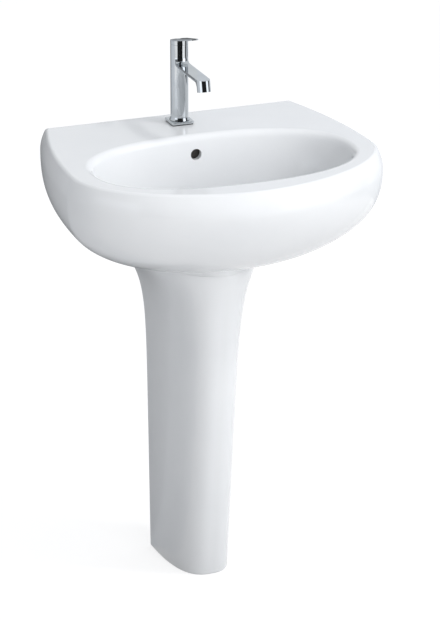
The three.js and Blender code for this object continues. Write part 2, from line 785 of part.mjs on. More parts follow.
// The lever's top, closed, at a distance along Y from the tap's axis.
function leverTopAt(y) {
  return leverBackHeight + Math.tan(radians(leverSlope)) * (columnRadius - y);
}

function makeLever() {
  const tip = leverTipWidth / 2;
  const corner = tip * 0.6;
  const plan = new THREE.Shape();
  plan.moveTo(columnRadius, 0);
  plan.absarc(0, 0, columnRadius, 0, Math.PI);
  plan.lineTo(-tip, -leverReach + corner);
  plan.absarc(-tip + corner, -leverReach + corner, corner, Math.PI, Math.PI * 1.5);
  plan.absarc(tip - corner, -leverReach + corner, corner, Math.PI * 1.5, Math.PI * 2);
  const past = columnRadius + cutMargin;
  const tipEnd = -leverReach - cutMargin;
  const plateSide = polygon([[past, leverTopAt(past)], [past, leverTopAt(past) - leverThickness],
    [tipEnd, leverTopAt(-leverReach) - leverTipThickness], [tipEnd, leverTopAt(tipEnd)]]);
  const plate = prism(plan, headHeight, headHeight * 1.3, 9)
    .intersect(prismAlongX(plateSide, -past, past));
  const middle = -leverThickness / 2;
  const skirt = headHeight - leverSkirt;
  const puckSide = polygon([[past, skirt], [past, leverTopAt(past) + middle],
    [-past, leverTopAt(-past) + middle], [-past, skirt]]);
  const puck = rod(columnRadius, skirt, headHeight * 1.2, { sides: largeSegments })
    .intersect(prismAlongX(puckSide, -past, past));
  const bossLow = nutBottom + cartridgeNutHeight + leverSkirt - pivotHeight;
  const boss = onStem(rod(bossRadius, bossLow, domeRadius + 1));
  const socketHalf = stemWidth / 2 + clearance;
  const socket = onStem(
    block([-socketHalf, -socketHalf, 0], [socketHalf, socketHalf, stemTop + clearance]));
  const screwHole = rodAlongY(grubScrewRadius + clearance, stemBack, past,
    { z: screwHeight, sides: smallSegments });
  return cut(joined(cut(joined(plate, puck), pivotDome(clearance)), boss), socket, screwHole);
}

function makeStem() {
  const half = stemWidth / 2;
  const hubHalf = stemHub / 2;
  const shank = block([-half, -half, stemShankStart], [half, half, stemTop]);
  const hub = block([-hubHalf, -hubHalf, -hubHalf], [hubHalf, hubHalf, stemShankStart + 1]);
  const tongue = rod(stemBall, -stemArm, -hubHalf + cutMargin / 2, { sides: smallSegments });
  const ballGeometry = new THREE.SphereGeometry(stemBall, 12, 8);
  ballGeometry.translate(0, 0, -stemArm);
  const pinHole = rodAlongX(pivotPinRadius + clearance, -stemWidth, stemWidth, { sides: smallSegments });
  return cut(joined(shank, hub, tongue, solid(ballGeometry)), pinHole);
}

function makeCarrier() {
  const carrierTop = shellTop - 1;
  const across = stemWidth / 2 + slotPlayAcross;
  const along = stemWidth / 2 + slotPlayAlong;
  const slot = block([-across, -along, carrierBottom - cutMargin], [across, along, carrierTop + cutMargin]);
  const pinBore = rodAlongX(pivotPinRadius + clearance, -carrierRadius - cutMargin, carrierRadius + cutMargin,
    { z: pivotHeight, sides: smallSegments });
  return cut(rod(carrierRadius, carrierBottom, carrierTop), slot, pinBore);
}

function portHoles(low, high, extra = 0) {
  return ports.map(([x, y]) => rod(portRadius + extra, low, high, { x, y, sides: smallSegments }));
}

function makeTap() {
  const gasketHole = plateHole + 0.5;
  const platePlan = roundedSquare(tapPlateSize, 4);
  const gasketPlan = roundedSquare(tapPlateSize - 2, 3.5);
  const plate = cut(prism(platePlan, gasketTop + clearance, plateTop, 4),
    rod(plateHole, 0, plateTop + cutMargin, { sides: largeSegments }));
  const gasket = cut(prism(gasketPlan, clearance, gasketTop, 3),
    rod(gasketHole, 0, gasketTop + cutMargin, { sides: largeSegments }));
  piece(tap, "tap_base_plate", plate, chrome);
  piece(tap, "tap_base_gasket", gasket, rubber);
  piece(tap, "tap_body", makeTapBody(), chrome);
  piece(tap, "tap_lever", makeLever(), chrome);
  const screwStart = stemBack + clearance;
  const grubScrew = rodAlongY(grubScrewRadius, screwStart, screwStart + grubScrewLength,
    { z: screwHeight, sides: smallSegments });
  piece(tap, "lever_grub_screw", grubScrew, steel);

  const seal = cut(rod(cartridgeRadius - 0.5, boreFloor + clearance, sealTop),
    ...portHoles(boreFloor, sealTop + cutMargin, clearance));
  const floorTop = shellBottom + cartridgeFloor;
  const shell = cut(ring(shellBore, cartridgeRadius, shellBottom, shellTop).add(
    rod(shellBore + cartridgeWall / 2, shellBottom, floorTop)),
    ...portHoles(shellBottom - cutMargin, floorTop + cutMargin));
  const fixedTop = fixedDisc + fixedDiscThickness;
  const lowerDisc = cut(rod(shellBore - clearance, fixedDisc, fixedTop),
    ...portHoles(fixedDisc - cutMargin, fixedTop + cutMargin));
  const [recessAcross, recessFront, recessBack] = recessHalf;
  const recess = block([-recessAcross, -recessFront, movingDisc - cutMargin],
    [recessAcross, recessBack, movingDisc + discRecess]);
  const socketBottom = movingDiscTop - stemBall - clearance * 2;
  const socket = rod(stemBall + clearance, socketBottom, movingDiscTop + cutMargin,
    { sides: smallSegments });
  const upperDisc = cut(rod(movingDiscRadius, movingDisc, movingDiscTop), recess, socket)
    .translate([0, leanShift, 0]);
  piece(tap, "cartridge_seal", seal, rubber);
  piece(tap, "cartridge_shell", shell, whitePlastic);
  piece(tap, "ceramic_disc_fixed", lowerDisc, technicalCeramic);
  piece(tap, "ceramic_disc_moving", upperDisc, technicalCeramic);
  piece(tap, "cartridge_carrier", makeCarrier(), whitePlastic);
  piece(tap, "cartridge_pin", rodAlongX(pivotPinRadius, -carrierRadius + 0.5, carrierRadius - 0.5,
    { z: pivotHeight, sides: smallSegments }), steel);
  piece(tap, "cartridge_stem", onStem(makeStem()), brass);
  const nutTop = nutBottom + cartridgeNutHeight;
  const nut = ring(cartridgeRadius - nutBoreInset, cartridgeRadius, nutBottom, nutTop);
  piece(tap, "cartridge_nut", nut, brass);

  const aeratorInner = aeratorRadius - aeratorWall;
  const jet = rod(jetRadius, 0, aeratorLength, { x: jetCircle, sides: 8 });
  const jets = Array.from({ length: jetCount }, (_, i) => jet.rotate([0, 0, (360 / jetCount) * i]));
  const insert = cut(rod(aeratorInner - clearance, 1, aeratorLength - 1), ...jets);
  const housing = ring(aeratorInner, aeratorRadius, aeratorLip, aeratorLength);
  const washerBottom = aeratorLength + clearance;
  const aeratorSeal = ring(aeratorInner - 1, aeratorRadius, washerBottom, aeratorLength + aeratorSeat);
  piece(tap, "aerator_housing", onOutlet(housing), chrome);
  piece(tap, "aerator_insert", onOutlet(insert), greyPlastic);
  piece(tap, "aerator_washer", onOutlet(aeratorSeal), rubber);
}

makeTap();

function makeTapFixing() {
  const rubberTop = -deckThickness - clearance;
  const rubberBottom = rubberTop - rubberThickness;
  const steelTop = rubberBottom - clearance;
  const steelBottom = steelTop - steelThickness;
  const nutTop = steelBottom - clearance;
  const onStud = { y: studOffset, sides: smallSegments };
  const horseshoe = (low, high) => cut(
    rod(horseshoeRadius, low, high, { sides: largeSegments }),
    block([-horseshoeSlot.halfWidth, horseshoeSlot.front, low - cutMargin],
      [horseshoeSlot.halfWidth, horseshoeRadius * 2, high + cutMargin]),
    rod(studRadius + clearance, low - cutMargin, high + cutMargin, onStud));
  piece(tap, "tap_rubber_washer", horseshoe(rubberBottom, rubberTop), rubber);
  piece(tap, "tap_steel_washer", horseshoe(steelBottom, steelTop), steel);
  const nut = hexNut(fixingNutSize, studRadius + clearance, nutTop - fixingNutHeight, nutTop);
  piece(tap, "tap_fixing_nut", nut.translate([0, studOffset, 0]), brass);
  const top = columnFoot + tapSocketDepth - cutMargin;
  piece(tap, "tap_fixing_stud", rod(studRadius, top - studLength, top, onStud), steel);
  [["left", 0], ["right", 1]].forEach(([sideName, i]) => {
    const [x, y] = ports[i];
    const bottom = top - tailLength - tailStagger * i;
    const collarTop = bottom + tailCollarHeight;
    const tail = turned([[tailBore, bottom], [tailCollarRadius, bottom], [tailCollarRadius, collarTop],
      [tailRadius, collarTop], [tailRadius, top], [tailBore, top]], smallSegments);
    piece(tap, `inlet_tail_${sideName}`, tail.translate([x, y, 0]), brass);
  });
}

makeTapFixing();

// ---------------------------------------------------------------- waste

// Heights in this group count from the drain's seat in the bowl, on the drain's axis.
const waste = new THREE.Group();
waste.position.set(0, drainY, drainSeat);
sink.add(waste);

const flangeBottom = clearance + wasteSealThickness + clearance;
const flangeTop = flangeBottom + flangeThickness;
const tubeInner = flangeTubeRadius - flangeTubeWall;
const tailInner = flangeTubeRadius + clearance;
const tailTop = -2;
const tailBottom = tailTop - tailPieceLength;
const slotLow = bossBottom + bowlShell - drainSeat;
const gasketTopLevel = -drainBossHeight - clearance;
const guideBottom = guideTop - guideHeight;

// Two slots through the tube at the overflow duct, crossing at the axis.
function wasteSlots() {
  const reach = tailPieceRadius + cutMargin;
  const high = slotLow + slotHeight;
  return joined(
    block([-slotHalfWidth, -reach, slotLow], [slotHalfWidth, reach, high]),
    block([-reach, -slotHalfWidth, slotLow], [reach, slotHalfWidth, high]));
}

function makeWaste() {
  const seal = ring(drainHoleRadius, flangeRadius - 1, clearance, clearance + wasteSealThickness);
  piece(waste, "waste_top_seal", seal, rubber);
  const tubeBottom = flangeBottom - flangeTubeLength;
  const flange = turned([[tubeInner, tubeBottom], [flangeTubeRadius, tubeBottom],
    [flangeTubeRadius, flangeBottom], [flangeRadius, flangeBottom], [flangeRadius, flangeBottom + 0.8],
    [flangeRadius - 4, flangeTop], [tubeInner + 3, flangeTop], [tubeInner, flangeBottom]]);
  piece(waste, "waste_flange", cut(flange, wasteSlots()), chrome);
  const tail = ring(tailInner, tailPieceRadius, tailBottom, tailTop);
  piece(waste, "waste_tail_piece", cut(tail, wasteSlots()), brass);
  const gasketInner = tailPieceRadius + clearance;
  const gasketBottom = gasketTopLevel - gasketHeight;
  const gasket = turned([[gasketInner, gasketBottom], [gasketInner + gasketWall, gasketBottom],
    [drainBossRadius - 4, gasketTopLevel - 3], [drainBossRadius - 4, gasketTopLevel],
    [gasketInner, gasketTopLevel]]);
  piece(waste, "waste_gasket", gasket, rubber);
  const nutTop = gasketBottom - clearance;
  piece(waste, "waste_nut", hexNut(wasteNutSize, gasketInner, nutTop - wasteNutHeight, nutTop), brass);

  // The plug stands open; it clicks down on to the flange.
  const plugBottom = flangeTop + clearance + plugLift;
  const plug = turned([[0, plugBottom], [plugRadius - 3, plugBottom], [plugRadius, plugBottom + 1.5],
    [plugRadius - 1, plugBottom + plugThickness - 1.6], [plugRadius * 0.6, plugBottom + plugThickness - 0.4],
    [0, plugBottom + plugThickness]]);
  piece(waste, "waste_plug", plug, chrome);
  const guideBore = plugStemRadius + clearance;
  const collarTop = guideTop - plugCollar.drop;
  const collarBottom = collarTop - plugCollar.height;
  const stemTip = guideBottom + guideFloor + plugLift + clearance;
  const stemHead = plugBottom - clearance;
  const stem = turned([[0, stemTip], [plugTailRadius, stemTip], [plugTailRadius, collarBottom],
    [plugCollar.radius, collarBottom], [plugCollar.radius, collarTop], [plugStemRadius, collarTop],
    [plugStemRadius, stemHead], [0, stemHead]], smallSegments);
  piece(waste, "plug_stem", stem, brass);
  const guideInner = guideRadius - guideWall;
  const floorTop = guideBottom + guideFloor;
  const hub = turned([[0, guideBottom], [guideRadius, guideBottom], [guideRadius, guideTop],
    [guideBore, guideTop], [guideBore, guideTop - 3], [guideInner, guideTop - 3],
    [guideInner, floorTop], [0, floorTop]]);
  const ribReach = tubeInner - clearance;
  const ribTop = guideBottom + ribHeight;
  const ribs = joined(
    block([-ribHalfWidth, -ribReach, guideBottom], [ribHalfWidth, ribReach, ribTop]),
    block([-ribReach, -ribHalfWidth, guideBottom], [ribReach, ribHalfWidth, ribTop]));
  const insideHub = rod(guideRadius - 0.5, guideBottom - cutMargin, ribTop + cutMargin, { sides: 16 });
  piece(waste, "plug_guide", joined(hub, cut(ribs, insideHub)), whitePlastic);
  piece(waste, "plug_spring", makeSpring(floorTop + clearance, collarBottom - clearance), steel);
}

// A compression spring round the stem's tail, between two heights.
function makeSpring(low, high) {
  class Helix extends THREE.Curve {
    getPoint(share, target = new THREE.Vector3()) {
      const angle = share * springTurns * Math.PI * 2;
      const height = low + springWire + (high - low - 2 * springWire) * share;
      return target.set(springRadius * Math.cos(angle), springRadius * Math.sin(angle), height);
    }
  }
  const wire = new THREE.Shape();
  for (let i = 0; i < 5; i += 1) {
    const angle = (i / 5) * Math.PI * 2;
    wire[i === 0 ? "moveTo" : "lineTo"](springWire * Math.cos(angle), springWire * Math.sin(angle));
  }
  return solid(new THREE.ExtrudeGeometry(wire, { steps: springTurns * 10, extrudePath: new Helix() }));
}

makeWaste();

// ---------------------------------------------------------------- trap

// Heights in this group count from the lower end of the tail piece, on the drain's axis.
const trap = new THREE.Group();
trap.position.set(0, drainY, drainSeat + tailBottom);
sink.add(trap);

const bottleTop = -trapDrop;
const bottleBottom = bottleTop - bottleHeight;
const branchZ = bottleTop - branchDrop;
const dipBottom = bottleBottom - cupHeight * 0.35;

function makeTrap() {
  const pipeInner = pipeRadius - pipeWall;
  const pipePlay = pipeRadius + clearance;
  // Slip nut that draws the inlet pipe's flange up to the tail piece.
  const nutTop = slipNutHeight * 0.6;
  const nutBottom = nutTop - slipNutHeight;
  const nutFloor = nutBottom + 4;
  const tailPlay = tailPieceRadius + clearance;
  const slipNut = turned([[pipePlay, nutBottom], [slipNutRadius - 3, nutBottom],
    [slipNutRadius, nutBottom + 3], [slipNutRadius, nutTop], [tailPlay, nutTop],
    [tailPlay, nutFloor], [pipePlay, nutFloor]]);
  piece(trap, "trap_slip_nut", slipNut, chrome);
  const pipeTop = -clearance;
  const flangeUnder = nutFloor + clearance;
  const flangeTopLevel = flangeUnder + pipeFlange;
  const flangeEdge = tailPieceRadius - 0.5;
  const pipe = turned([[pipeInner, dipBottom], [pipeRadius, dipBottom], [pipeRadius, flangeUnder],
    [flangeEdge, flangeUnder], [flangeEdge, flangeTopLevel], [pipeInner, flangeTopLevel]]);
  piece(trap, "trap_inlet_pipe", pipe, chrome);
  const slipSeal = ring(pipeInner, flangeEdge, flangeTopLevel + clearance, pipeTop);
  piece(trap, "trap_slip_seal", slipSeal, rubber);

  // Bottle with its neck, open below, and a branch towards the wall.
  const neckTop = bottleTop + trapNeckHeight;
  const outer = turned([[0, bottleBottom], [trapRadius, bottleBottom], [trapRadius, bottleTop - 6],
    [trapRadius - 6, bottleTop], [trapNeckRadius, bottleTop], [trapNeckRadius, neckTop], [0, neckTop]]);
  const innerRadius = trapRadius - trapWall;
  const ceiling = bottleTop - trapWall - 1;
  const inner = turned([[0, bottleBottom - cutMargin], [innerRadius, bottleBottom - cutMargin],
    [innerRadius, bottleTop - 8], [trapRadius - 9, ceiling], [pipePlay, ceiling],
    [pipePlay, neckTop + cutMargin], [0, neckTop + cutMargin]]);
  const branchEnd = trapRadius + 22;
  const branch = rodAlongY(branchRadius, 0, branchEnd, { z: branchZ });
  const branchBore = rodAlongY(pipePlay, 0, branchEnd + cutMargin, { z: branchZ });
  piece(trap, "trap_bottle", cut(joined(outer, branch), inner, branchBore), chrome);

  const sealTop = neckTop + clearance + sealWidth;
  const seal = ring(pipePlay, trapNeckRadius - 0.5, neckTop + clearance, sealTop);
  piece(trap, "trap_collar_seal", seal, rubber);
  const collarTop = sealTop + clearance + nutLip;
  const collarBottom = collarTop - collarNutHeight;
  const neckPlay = trapNeckRadius + clearance;
  const collarNut = turned([[neckPlay, collarBottom], [collarNutRadius, collarBottom],
    [collarNutRadius, collarTop - 2], [collarNutRadius - 2, collarTop], [pipePlay, collarTop],
    [pipePlay, collarTop - nutLip], [neckPlay, collarTop - nutLip]]);
  piece(trap, "trap_collar_nut", collarNut, chrome);

  // Bottom cup, unscrewed for cleaning.
  const cupTop = bottleBottom + 12;
  const cupInner = trapRadius + clearance;
  const cupBottom = bottleBottom - cupHeight;
  const ledge = bottleBottom - 2.6; // where the cup's seal lies
  const waterRadius = cupRadius - trapWall - 3;
  const cupFloor = cupBottom + trapWall;
  const cup = turned([[0, cupBottom], [cupRadius - 8, cupBottom], [cupRadius, cupBottom + 8],
    [cupRadius, cupTop], [cupInner, cupTop], [cupInner, ledge], [waterRadius, ledge],
    [waterRadius, cupBottom + 9], [cupRadius - 11, cupFloor], [0, cupFloor]]);
  piece(trap, "trap_cup", cup, chrome);
  const cupSeal = ring(innerRadius, trapRadius, ledge + clearance, bottleBottom - clearance);
  piece(trap, "trap_cup_seal", cupSeal, rubber);

  // Outlet to the wall, drawn along Z and turned to face the wall.
  const wallDistance = fromWall(0) - drainY;
  const towardsWall = (shape) => shape.rotate([-90, 0, 0]).translate([0, 0, branchZ]);
  const outletStart = trapRadius + 8;
  const outlet = ring(pipeInner, pipeRadius, outletStart, wallDistance - clearance);
  piece(trap, "trap_outlet_pipe", towardsWall(outlet), chrome);
  const outletSealEnd = branchEnd + clearance + sealWidth;
  const outletSeal = ring(pipePlay, branchRadius - 0.5, branchEnd + clearance, outletSealEnd);
  piece(trap, "trap_outlet_seal", towardsWall(outletSeal), rubber);
  const nutEnd = outletSealEnd + clearance + nutLip;
  const nutStart = nutEnd - collarNutHeight;
  const branchPlay = branchRadius + clearance;
  const outletNut = turned([[branchPlay, nutStart], [branchRadius + 4, nutStart],
    [branchRadius + 4, nutEnd - 2], [branchRadius + 2, nutEnd], [pipePlay, nutEnd],
    [pipePlay, nutEnd - nutLip], [branchPlay, nutEnd - nutLip]]);
  piece(trap, "trap_outlet_nut", towardsWall(outletNut), chrome);
  const rosetteBack = wallDistance - clearance;
  const rosetteFront = rosetteBack - rosetteDepth;
  const rosetteInside = rosetteFront + 1.6;
  const rosette = turned([[pipePlay, rosetteFront], [pipeRadius + 4, rosetteFront],
    [rosetteRadius - 4, rosetteBack - 4], [rosetteRadius, rosetteBack], [rosetteRadius - 2, rosetteBack],
    [rosetteRadius - 6, rosetteBack - 2.6], [pipeRadius + 3, rosetteInside], [pipePlay, rosetteInside]]);
  piece(trap, "wall_rosette", towardsWall(rosette), chrome);
}

makeTrap();

export default sink;
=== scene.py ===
"""Pedestal sink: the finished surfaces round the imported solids. Lengths are in millimetres until a
mesh is made, and then in metres. +X is to the right seen from the front, +Y towards the wall."""

import json
from math import copysign, cos, exp, hypot, pi, radians, sin, sqrt, tan

import bmesh
import bpy
from mathutils import Matrix, Vector


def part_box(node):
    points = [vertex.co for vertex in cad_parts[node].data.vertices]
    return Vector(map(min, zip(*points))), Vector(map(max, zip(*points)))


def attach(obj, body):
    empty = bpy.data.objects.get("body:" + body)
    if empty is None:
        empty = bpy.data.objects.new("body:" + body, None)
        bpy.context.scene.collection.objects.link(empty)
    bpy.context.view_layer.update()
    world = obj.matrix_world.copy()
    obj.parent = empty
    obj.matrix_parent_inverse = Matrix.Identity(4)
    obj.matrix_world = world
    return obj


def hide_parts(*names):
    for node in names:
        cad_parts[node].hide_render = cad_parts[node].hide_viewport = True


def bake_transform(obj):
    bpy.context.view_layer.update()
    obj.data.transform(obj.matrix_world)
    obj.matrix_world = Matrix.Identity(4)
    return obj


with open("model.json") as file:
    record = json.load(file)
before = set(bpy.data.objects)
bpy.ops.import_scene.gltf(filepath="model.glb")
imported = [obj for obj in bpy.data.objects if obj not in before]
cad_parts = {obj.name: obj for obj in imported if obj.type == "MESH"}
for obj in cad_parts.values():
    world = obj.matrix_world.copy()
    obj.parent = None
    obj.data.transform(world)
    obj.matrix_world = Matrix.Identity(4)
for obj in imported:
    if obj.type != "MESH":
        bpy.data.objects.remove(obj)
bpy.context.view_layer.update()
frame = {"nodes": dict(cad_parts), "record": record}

MM = 0.001
CLEARANCE = 0.3  # between pieces that seat on one another, as in the solids
OVER = 1  # how far a cutter reaches past what it cuts


# ---- camera, light and stage

# This section counts in metres. Azimuth 0 is in front, and positive is to the right.
CAMERA_TARGET = (0.01706, 0.025, 0.53435)
CAMERA_DISTANCE = 6.5
CAMERA_AZIMUTH = -21.06
CAMERA_ELEVATION = 20.74
CAMERA_LENS = 204.84
CAMERA_SENSOR = 36

ROOM_COLOUR = (0.935, 0.955, 0.99, 1)
ROOM_LEVEL = 0.74
ROOM_SLANT = (0.36, -0.12, 0.10)  # how much lighter the room is to the right, at the back and above
ROOM_LEAST = 0.02
MIRRORED_ROOM = {"Color": (0.94, 0.97, 1.0, 1), "Strength": 0.78}
WHITE_ROOM = {"Color": (1, 1, 1, 1), "Strength": 1.0}

FLOOR_HALF = 14
FLOOR_PAINTED_BOUNCE_SHADE = {"From Min": 0.1, "From Max": 0.9, "To Min": 0.33, "To Max": 0.65}  # over the distance from the foot; painted shade: the floor's colour in bounced light is darker near the foot
FLOOR_SHADE = (0.34, 0.34, 0.34, 1)
FLOOR_GLOW = 0.725

# Cards that only reflections see: stops of azimuth and shade, distance, bottom, top, reach of the foot.
CARD_CENTRE_Y = 0.12
CARD_STEP = 6  # degrees
CARD_GAP = 0.003  # over the floor
CARD_TINT = (0.96, 1, 1.06)
CARDS = {
    "front_flag": ([(-46, 0.02), (24, 0.02)], 1.5, 0.3, 4.0, 1.5),
    "left_flag": ([(-201, 0.16), (-166, 0.24), (-150, 0.44), (-143, 0.68), (-84, 0.8)],
                  1.4, 0, 1.15, 0.085),
    "left_white": ([(-82, 1.5), (-48, 1.4)], 1.5, 0.8, 1.3, 1.5),
    "upper_left_flag": ([(-80, 0.3), (-47, 0.12)], 1.5, 1.31, 4.0, 1.5),
    "right_white": ([(26, 1.5), (60, 1.5)], 1.5, 0.8, 1.3, 1.5),
    "window": ([(33, 2.2), (65, 2.2)], 2.5, 1.5, 3.8, 2.5),
    "right_flag": ([(62, 0.05), (82, 0.1), (92, 0.6), (112, 0.72), (159, 0.76)], 1.6, 0, 2.2, 1.6),
}

# Soft lamps that reflections don't see: place, width and height, watts.
LAMP_TARGET = (0, 0, 0.7)
LAMPS = {
    "key": ((2.75, -2.2, 3.0), (1.9, 1.9), 9),
    "key_core": ((2.4, -1.8, 4.2), (0.45, 0.45), 42),
    "front_fill": ((0.5, -3.9, 1.7), (2.0, 1.6), 54),
    "top": ((0.0, -0.3, 3.8), (2.4, 2.0), 2),
    "left_fill": ((-3.4, 0.2, 2.4), (1.4, 2.0), 6),
}


def shares(steps, first=0):
    """Even steps from 0 to 1."""
    return [k / steps for k in range(first, steps + 1)]


def add_object(name, data):
    obj = bpy.data.objects.new(name, data)
    bpy.context.scene.collection.objects.link(obj)
    return obj


def aim(obj, place, target):
    obj.location = place
    obj.rotation_euler = (Vector(target) - Vector(place)).to_track_quat("-Z", "Y").to_euler()


def make_camera():
    data = bpy.data.cameras.new("camera")
    data.lens = CAMERA_LENS
    data.sensor_width = CAMERA_SENSOR
    data.clip_end = 60
    camera = add_object("camera", data)
    a, e = radians(CAMERA_AZIMUTH), radians(CAMERA_ELEVATION)
    out = Vector((sin(a) * cos(e), -cos(a) * cos(e), sin(e)))
    aim(camera, Vector(CAMERA_TARGET) + out * CAMERA_DISTANCE, CAMERA_TARGET)
    bpy.context.scene.camera = camera


def make_lamp(name, place, size, watts):
    data = bpy.data.lights.new(name, "AREA")
    data.shape = "RECTANGLE"
    data.size, data.size_y = size
    data.energy = watts
    lamp = add_object(name, data)
    lamp.visible_glossy = False
    aim(lamp, place, LAMP_TARGET)


def add_node(tree, kind, inputs=(), **settings):
    """A new shader node. Each input is a value, a node, for its first output, or a node's output."""
    node = tree.nodes.new("ShaderNode" + kind)
    for key, value in settings.items():
        setattr(node, key, value)
    for key, value in dict(inputs).items():
        if isinstance(value, bpy.types.Node):
            value = value.outputs[0]
        if isinstance(value, bpy.types.NodeSocket):
            tree.links.new(value, node.inputs[key])
        else:
            node.inputs[key].default_value = value
    return node


def seen_by(tree, *rays):
    """1 on these kinds of ray, and 0 on the others."""
    path = add_node(tree, "LightPath")
    seen = path.outputs[rays[0]]
    for ray in rays[1:]:
        seen = add_node(tree, "Math", {0: seen, 1: path.outputs[ray]}, operation="MAXIMUM").outputs[0]
    return seen


def make_world():
    """Soft room light, a plainer room in reflections, and white behind the object."""
    world = bpy.data.worlds.new("studio")
    bpy.context.scene.world = world
    world.use_nodes = True
    tree = world.node_tree
    tree.nodes.clear()
    direction = add_node(tree, "TexCoord").outputs["Generated"]
    slant = add_node(tree, "VectorMath", {0: direction, 1: ROOM_SLANT}, operation="DOT_PRODUCT")
    level = add_node(tree, "Math", {0: slant.outputs["Value"], 1: ROOM_LEVEL}, operation="ADD")
    level = add_node(tree, "Math", {0: level, 1: ROOM_LEAST}, operation="MAXIMUM")
    surface = add_node(tree, "Background", {"Color": ROOM_COLOUR, "Strength": level})
    for look, *rays in (
        (MIRRORED_ROOM, "Is Glossy Ray"),
        (WHITE_ROOM, "Is Camera Ray", "Is Transmission Ray"),
    ):
        seen = add_node(tree, "Background", look)
        surface = add_node(tree, "MixShader", {0: seen_by(tree, *rays), 1: surface, 2: seen})
    add_node(tree, "OutputWorld", {"Surface": surface})


def blank_material(name):
    material = bpy.data.materials.new(name)
    material.use_nodes = True
    material.node_tree.nodes.clear()
    return material, material.node_tree


def make_floor():
    """A pale floor. Seen directly it is mostly its own white, with the object's soft shadow left on it.
    In bounced light its colour is painted darker near the foot, a painted shade, so the light that it throws
    back on the object grows with the distance from the foot."""
    mesh = bpy.data.meshes.new("floor")
    corners = [(x * FLOOR_HALF, y * FLOOR_HALF, 0) for x, y in ((-1, -1), (1, -1), (1, 1), (-1, 1))]
    mesh.from_pydata(corners, [], [(0, 1, 2, 3)])
    material, tree = blank_material("pale_floor")
    place = add_node(tree, "TexCoord").outputs["Object"]
    distance = add_node(tree, "VectorMath", {0: place}, operation="LENGTH").outputs["Value"]
    # painted shade: the floor's colour for bounced light is darker near the foot, which dims the light on
    # the lower object
    painted_bounce_shade = add_node(tree, "MapRange", {"Value": distance, **FLOOR_PAINTED_BOUNCE_SHADE}, interpolation_type="SMOOTHSTEP")
    lit = add_node(tree, "BsdfDiffuse", {"Color": painted_bounce_shade})
    shade = add_node(tree, "BsdfDiffuse", {"Color": FLOOR_SHADE})
    glow = add_node(tree, "Emission", {"Strength": FLOOR_GLOW})
    both = add_node(tree, "AddShader", {0: shade, 1: glow})
    seen = seen_by(tree, "Is Camera Ray", "Is Glossy Ray", "Is Transmission Ray")
    mix = add_node(tree, "MixShader", {0: seen, 1: lit, 2: both})
    add_node(tree, "OutputMaterial", {"Surface": mix})
    mesh.materials.append(material)
    add_object("floor", mesh)


def make_card(name, stops, distance, low, high, foot):
    """An upright curved card round the sink, with its foot carried inwards over the floor."""
    columns = []
    for (start, dark), (end, light) in zip(stops, stops[1:]):
        steps = max(1, round(abs(end - start) / CARD_STEP))
        for share in shares(steps)[:-1]:
            columns.append((start + (end - start) * share, dark + (light - dark) * share))
    points, faces, shades = [], [], []
    low += CARD_GAP
    for azimuth, shade in columns + stops[-1:]:
        angle = radians(azimuth)
        for reach, height in ((foot, low), (distance, low), (distance, high)):
            points.append((reach * sin(angle), CARD_CENTRE_Y - reach * cos(angle), height))
            shades.append(shade)
    for column in range(0, len(points) - 3, 3):
        faces += [(k, k + 3, k + 4, k + 1) for k in (column, column + 1)]
    mesh = bpy.data.meshes.new(name)
    mesh.from_pydata(points, [], faces)
    layer = mesh.color_attributes.new("shade", "FLOAT_COLOR", "POINT")
    for item, shade in zip(layer.data, shades):
        item.color = (*(shade * part for part in CARD_TINT), 1)
    material, tree = blank_material(name)
    shade = add_node(tree, "Attribute", attribute_name="shade").outputs["Color"]
    glow = add_node(tree, "Emission", {"Color": shade})
    add_node(tree, "OutputMaterial", {"Surface": glow})
    mesh.materials.append(material)
    card = add_object(name, mesh)
    card.visible_camera = card.visible_diffuse = card.visible_shadow = card.visible_transmission = False


def make_studio():
    make_camera()
    make_world()
    make_floor()
    for name, shape in CARDS.items():
        make_card(name, *shape)
    for name, shape in LAMPS.items():
        make_lamp(name, *shape)
    bpy.context.scene.view_settings.view_transform = "Standard"


# ---- materials

CLOUD = (0.3, 0.7)  # the part of a noise's range that is used
POLISH_SCALE = 2.7  # this and the next one times the scale of the clouds
GRAIN_SCALE = 8


def noise(tree, scale):
    place = add_node(tree, "TexCoord").outputs["Object"]
    return add_node(tree, "TexNoise", {"Vector": place, "Scale": scale, "Detail": 4.0}).outputs["Fac"]


def make_material(name, dark, light, roughness, metallic, scale, grain):
    """A clouded colour and roughness between two values, and a fine grain of a strength and a height."""
    material = bpy.data.materials.new(name)
    material.use_nodes = True
    tree = material.node_tree
    shader = tree.nodes["Principled BSDF"]
    shader.inputs["Metallic"].default_value = metallic
    colour = add_node(tree, "ValToRGB", {"Fac": noise(tree, scale)})
    for stop, position, shade in zip(colour.color_ramp.elements, CLOUD, (dark, light)):
        stop.position = position
        stop.color = (*shade, 1)
    polish = add_node(tree, "MapRange", {
        "Value": noise(tree, scale * POLISH_SCALE), "From Min": CLOUD[0], "From Max": CLOUD[1],
        "To Min": roughness[0], "To Max": roughness[1]})
    bump = add_node(tree, "Bump", {
        "Height": noise(tree, scale * GRAIN_SCALE), "Strength": grain[0], "Distance": grain[1]})
    for socket, source in (("Base Color", colour), ("Roughness", polish), ("Normal", bump)):
        tree.links.new(source.outputs[0], shader.inputs[socket])
    return material


